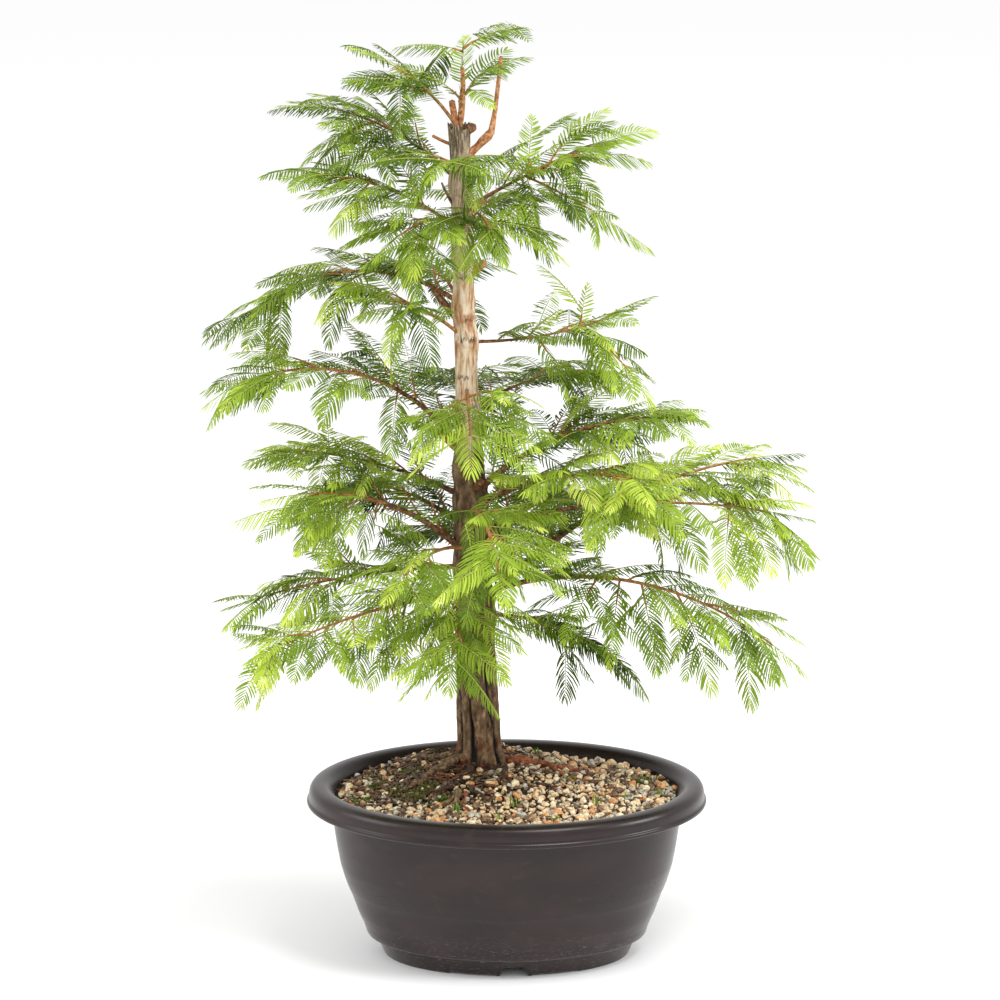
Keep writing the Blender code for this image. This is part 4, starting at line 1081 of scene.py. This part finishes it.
class Grower:
    """Grows one limb: its wood, its side shoots and all their fronds."""

    def __init__(self, crown, spec):
        self.crown = crown
        self.spec = spec
        self.rng = np.random.default_rng(sum(map(ord, spec.name)) * 7919 + len(spec.name))
        self.random = random.Random(spec.name)

    def tone(self, nudge=0.0):
        return int(round(self.spec.tone + nudge + self.random.gauss(0, 0.75)))

    def side_frond(self, line, share, hand, length, nudge=0.0):
        root, ahead = along(line, share)
        up = shoot_normal(ahead)
        hanging = self.random.random() < 0.17
        spread = hand * self.random.uniform(0.80, 1.20) * FROND_SPREAD
        away = Matrix.Rotation(math.radians(spread), 3, up) @ ahead
        azimuth, rise = angles(away)
        droop = FROND_DROOP * self.random.uniform(0.6, 1.5)
        roll = self.random.uniform(-30, 30)
        if hanging:
            rise -= self.random.uniform(30, 62)
            roll = self.random.uniform(-70, 70)
        length *= self.random.uniform(0.86, 1.12)
        frond = arc(root, azimuth, rise + 8 - droop / 2, droop, length, 8)
        _, start = along(frond, 0.0)
        normal = rolled(start, roll) @ shoot_normal(start)
        size = (length / FROND_LENGTH) ** 0.55
        self.crown.frond(frond, normal, size, self.tone(nudge), self.rng)

    def end_frond(self, line, length, nudge=0.4):
        start = max(0.0, 1 - FROND_LENGTH / length)
        frond = stretch(line, start, 1.0, 8)
        _, ahead = along(line, start)
        normal = rolled(ahead, self.random.uniform(-20, 20)) @ shoot_normal(ahead)
        size = ((1 - start) * length / FROND_LENGTH) ** 0.55
        self.crown.frond(frond, normal, size, self.tone(nudge), self.rng)

    def shoot(self, line, length, first, pitch, size):
        """Pairs of fronds along a shoot, and one on to its tip."""
        usable = length * (1 - first) - 0.30 * FROND_LENGTH
        count = max(0, int(usable / pitch))
        for i in range(count):
            share = first + (i + 0.5) * pitch / length
            swell = 0.74 + 0.26 * math.sin(math.pi * (i + 1) / (count + 1))
            for hand in (-1, 1):
                if self.random.random() < self.spec.fullness:
                    at = share + self.random.uniform(-0.2, 0.2) * pitch / length
                    self.side_frond(line, at, hand, size * swell, 0.5 * share - 0.3)
        self.end_frond(line, length)

    def grow(self):
        spec = self.spec
        line = limb_line(spec)
        bare = spec.bare / spec.length
        if spec.bare:
            joint = min(bare + 0.03, 1.0)
            points = stretch(line, 0.0, joint, 14)
            radii = tapered(15, spec.radius, 0.60 * spec.radius)
            swell = [1 + 0.8 * math.exp(-i / 1.6) for i in range(15)]
            self.crown.twig(points, [r * s for r, s in zip(radii, swell)], "bough")
        green = 1 - 0.5 * FROND_LENGTH / spec.length
        foot = 0.58 * spec.radius if spec.bare else spec.radius
        self.crown.twig(stretch(line, bare, green, 12), tapered(13, foot, 0.00062), "twig")
        self.shoot(line, spec.length, max(spec.bare, 0.014) / spec.length, FROND_PITCH, FROND_LENGTH * 0.94)
        for shoot in spec.shoots:
            self.side_shoot(line, shoot)
        self.inner_shoots(line)

    def inner_shoots(self, line):
        """Short leafy shoots along the bough, between the trunk and its mass."""
        spec = self.spec
        hand = self.random.choice((-1, 1))
        at = 0.020
        while at < spec.bare + 0.004:
            root, ahead = along(line, at / spec.length)
            azimuth, rise = angles(ahead)
            hand = -hand
            azimuth += hand * self.random.uniform(28, 72)
            rise += self.random.uniform(-22, 34)
            length = self.random.uniform(0.040, 0.062)
            points = arc(root, azimuth, rise, 26, length, 12)
            self.crown.twig(stretch(points, 0.0, 0.4, 4), tapered(5, 0.0007, 0.00045), "twig")
            for side in (-1, 1):
                if self.random.random() < 0.75:
                    self.side_frond(points, 0.12, side, 0.034, -0.5)
            self.end_frond(points, length, -0.2)
            at += self.random.uniform(0.009, 0.014)

    def side_shoot(self, line, shoot):
        share = max(shoot.share, (self.spec.bare + 0.003) / self.spec.length)
        root, _ = along(line, share)
        points = arc(root, shoot.azimuth, shoot.rise, shoot.droop, shoot.length, 12)
        twig_end = min(max(1 - 0.75 * FROND_LENGTH / shoot.length, 0.30), 0.75)
        self.crown.twig(stretch(points, 0.0, twig_end, 5), tapered(6, 0.00085, 0.00045), "twig")
        pitch = 0.0125
        first = 0.005 / shoot.length
        pairs = max(1, int((shoot.length * 0.62) / pitch))
        for i in range(pairs):
            at = first + (i + 0.4) * pitch / shoot.length
            size = 0.044 * (1 - 0.16 * i)
            for hand in (-1, 1):
                if self.random.random() < 0.70:
                    self.side_frond(points, at, hand, size, 0.1)
        self.end_frond(points, 0.98 * shoot.length, 0.6)


# How much of a root's thickness shows over the gravel, and its bark
ROOT_LOOKS = ((0.45, "root_red"), (0.42, "root_dark"), (0.45, "root_dark"), (0.92, "root"), (0.75, "root"),
              (0.75, "root"))
ROOTLETS = 34
Branch = namedtuple("Branch", "x y end_x end_y radius kind")
# Side roots that leave the buttress roots, from and to places on the soil
ROOT_BRANCHES = rows_of(
    Branch, (TENTHS, TENTHS, TENTHS, TENTHS, TENTHS, 1),
    (-300, -220, -520, -480, 20, "root"), (-320, -260, -370, -560, 16, "root"),
    (-270, -240, -230, -600, 12, "root_red"), (-340, -160, -660, -200, 15, "root_dark"),
    (-220, -160, -80, -440, 12, "root_dark"), (200, -40, 440, -200, 10, "root_dark"),
    (10, 245, 620, 340, 27, "root_red"))


def make_roots(crown):
    """Surface roots that leave the flare and sink into the gravel, and a tangle of rootlets."""
    for k, (root, (shown, kind)) in enumerate(zip(ROOTS, ROOT_LOOKS)):
        steps = 30
        share = np.linspace(0, 1, steps)
        out, aside = heading(root.azimuth, 0), heading(root.azimuth + 90, 0)
        bend = ROOT_BEND * share * np.sin(3 * share + root.azimuth)
        bend = bend + 0.0016 * np.sin(share * 15 + k) + 0.0009 * np.sin(share * 37 + 2 * k)
        far = ROOT_START + root.length * share
        x = TRUNK_X + out.x * far + aside.x * bend
        y = TRUNK_Y + out.y * far + aside.y * bend
        arch = 0.0016 * np.sin(math.pi * share) * np.cos(share * 11 + k)
        lift = 0.0013 + ROOT_LIFT * shown * (1 - share) ** 2 + arch
        z = soil_height(x, y) + lift
        radii = shown * root.radius * (1 - share) ** 0.7 + 0.0006
        lumps = 1 + 0.22 * np.sin(share * 23 + 2 * k) * (1 - share)
        crown.wood[kind].add(*tube(stacked(x, y, z), radii * lumps, 14, 0.34, k))
    for k, branch in enumerate(ROOT_BRANCHES):
        share = np.linspace(0, 1, 16)
        x = branch.x + (branch.end_x - branch.x) * share + 0.0016 * np.sin(share * 9 + k)
        y = branch.y + (branch.end_y - branch.y) * share + 0.0010 * np.sin(share * 17 + 2 * k)
        z = soil_height(x, y) + 0.0022 * (1 - share) + 0.0008 * np.sin(share * 12 + k)
        radii = branch.radius * (1 - 0.65 * share) * (1 + 0.20 * np.sin(share * 21 + k))
        crown.wood[branch.kind].add(*tube(stacked(x, y, z), radii, 10, 0.34, k))
    rng = np.random.default_rng(5)
    for k in range(ROOTLETS):
        azimuth = rng.normal(225, 55) if rng.random() < 0.66 else rng.uniform(0, 360)
        long = rng.uniform(0.008, 0.030)
        start = rng.uniform(0.013, 0.034)
        share = np.linspace(0, 1, 12)
        bend = rng.normal(0, 0.9) * share ** 2 + 0.16 * np.sin(share * rng.uniform(6, 14) + k)
        turn = np.radians(azimuth) + bend
        far = start + long * share * rng.uniform(0.4, 1.0)
        x = TRUNK_X + np.cos(turn) * far
        y = TRUNK_Y + np.sin(turn) * far
        z = soil_height(x, y) + 0.0024 * np.sin(math.pi * share) + 0.0010 * np.sin(share * 10 + k)
        radii = rng.uniform(0.0003, 0.0008) * (1 - 0.6 * share)
        kind = rng.choice(("root_dark", "root", "root_red"), p=(0.58, 0.28, 0.14))
        crown.wood[kind].add(*tube(stacked(x, y, z), radii, 6, 0.2, k))


Stub = namedtuple("Stub", "height azimuth rise length radius kind")
STUBS = rows_of(
    Stub, (MM, 1, 1, TENTHS, TENTHS, 1),
    (524, 0, 87, 330, 16, "young"), (522, 182, 78, 150, 20, "young"), (514, 174, 22, 120, 10, "young"),
    (521, 352, 34, 52, 26, "bough"), (432, 348, 38, 110, 24, "young"), (402, 166, 48, 240, 22, "bough"),
    (478, 330, 62, 210, 9, "bough"), (318, 168, 40, 200, 26, "young"), (296, 300, 30, 120, 22, "bough"),
    (262, 30, 12, 120, 24, "bough"), (246, 250, 8, 90, 26, "bough"), (470, 200, 60, 200, 8, "bough"))


def make_stubs(crown):
    """Old cut branches, blunt at the end."""
    for k, stub in enumerate(STUBS):
        foot = Vector((*trunk_axis(stub.height), stub.height))
        points = arc(foot, stub.azimuth, stub.rise, -14, stub.length + 0.006, 8)
        radii = [stub.radius * (1.25 - (0.25 + 6 * stub.length) * i / 8) for i in range(9)]
        crown.wood[stub.kind].add(*tube(points, radii, 12, 0.22, k))


def make_crown():
    crown = Crown()
    for spec in LIMBS:
        Grower(crown, spec).grow()
    for points, radii in LEADER_GROWTHS:
        count = 14
        share = np.linspace(0, 1, count)
        at = np.linspace(0, 1, len(points))
        x, z = (np.interp(share, at, [p[i] / TENTHS for p in points]) for i in (0, 1))
        y = np.full(count, TRUNK_Y) + 0.001 * np.sin(3 * share)
        thick = np.interp(share, np.linspace(0, 1, len(radii)), [r / TENTHS for r in radii])
        crown.wood["young"].add(*tube(stacked(x, y, z), thick, 12, 0.20))
    make_roots(crown)
    make_stubs(crown)
    replaced = {"bough": [*("bough_" + spec.name for spec in LIMBS if spec.bare), "bough_bare_leader"],
                "twig": ["foliage_" + spec.name for spec in LIMBS]}
    for kind, pile in crown.wood.items():
        nodes = replaced.get(kind)
        wood = pile.make(kind + "_wood", MATERIALS[kind])
        if nodes:
            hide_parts(*nodes)
        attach(wood, "root")
    rachis = crown.rachis.make("rachises", MATERIALS["rachis"])
    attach(rachis, "root")
    for level, (pile, colour) in enumerate(zip(crown.piles, TONE_COLOURS)):
        if not pile.count:
            continue
        name = f"needles_{level}"
        green = pile.make(name, needle_material(name, colour))
        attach(green, "root")


# ---- Studio
def make_studio():
    floor = mesh_object("floor", [(-20, -20, 0), (20, -20, 0), (20, 20, 0), (-20, 20, 0)], [(0, 1, 2, 3)],
                        Shader("floor", (250, 250, 250), 0.95, 0.0).material, smooth=False)
    world = bpy.data.worlds.new("studio")
    bpy.context.scene.world = world
    world.use_nodes = True
    world.node_tree.nodes["Background"].inputs["Color"].default_value = (1, 1, 1, 1)
    world.node_tree.nodes["Background"].inputs["Strength"].default_value = 1.0
    for name, place, size, watts in (
            ("key", (0.7, -1.0, 2.5), 0.7, 25.0),
            ("right", (2.6, -0.8, 1.5), 1.0, 36.0),
            ("left", (-2.5, -0.7, 1.5), 1.4, 26.0)):
        light = bpy.data.lights.new(name, "AREA")
        light.size = size
        light.energy = watts
        lamp = bpy.data.objects.new(name, light)
        lamp.location = place
        lamp.rotation_euler = (Vector((0, 0, 0.3)) - Vector(place)).to_track_quat("-Z", "Y").to_euler()
        bpy.context.scene.collection.objects.link(lamp)
    bpy.context.scene.view_settings.view_transform = "Standard"


SENSOR = 36.0
FOCAL_PIXELS = 3630
PICTURE_PIXELS = 1000


def make_camera():
    """At the photograph's angle: level with the crown's middle, looking down on the soil a little."""
    data = bpy.data.cameras.new("camera")
    data.sensor_width = SENSOR
    data.lens = FOCAL_PIXELS / PICTURE_PIXELS * SENSOR
    data.clip_end = 50
    camera = bpy.data.objects.new("camera", data)
    place, aim = Vector((-0.0042, -2.200, 0.825)), Vector((-0.0042, 0, 0.297))
    camera.location = place
    camera.rotation_euler = (aim - place).to_track_quat("-Z", "Y").to_euler()
    bpy.context.scene.collection.objects.link(camera)
    bpy.context.scene.camera = camera


MATERIALS = {
    "bark": bark_material(),
    "bough": limb_material("bough_bark", (66, 42, 27), (128, 86, 56), (180, 136, 98)),
    "young": limb_material("young_bark", (128, 76, 45), (198, 130, 84), (242, 190, 142), 0.6),
    "twig": limb_material("twig_bark", (122, 74, 38), (172, 116, 66), (204, 158, 98), 0.6),
    "root": limb_material("root_bark", (58, 42, 29), (112, 87, 62), (168, 142, 110), 0.85),
    "root_dark": limb_material("dark_root_bark", (34, 23, 16), (70, 49, 34), (112, 84, 60), 0.85),
    "root_red": limb_material("red_root_bark", (66, 34, 22), (138, 76, 48), (196, 124, 80), 0.7),
    "rachis": limb_material("rachis_skin", (140, 140, 60), (172, 182, 84), (196, 204, 110), 0.5),
}

make_camera()
make_studio()
make_pot()
make_soil_base()
make_stones()
make_litter()
make_moss()
make_trunk()
make_crown()
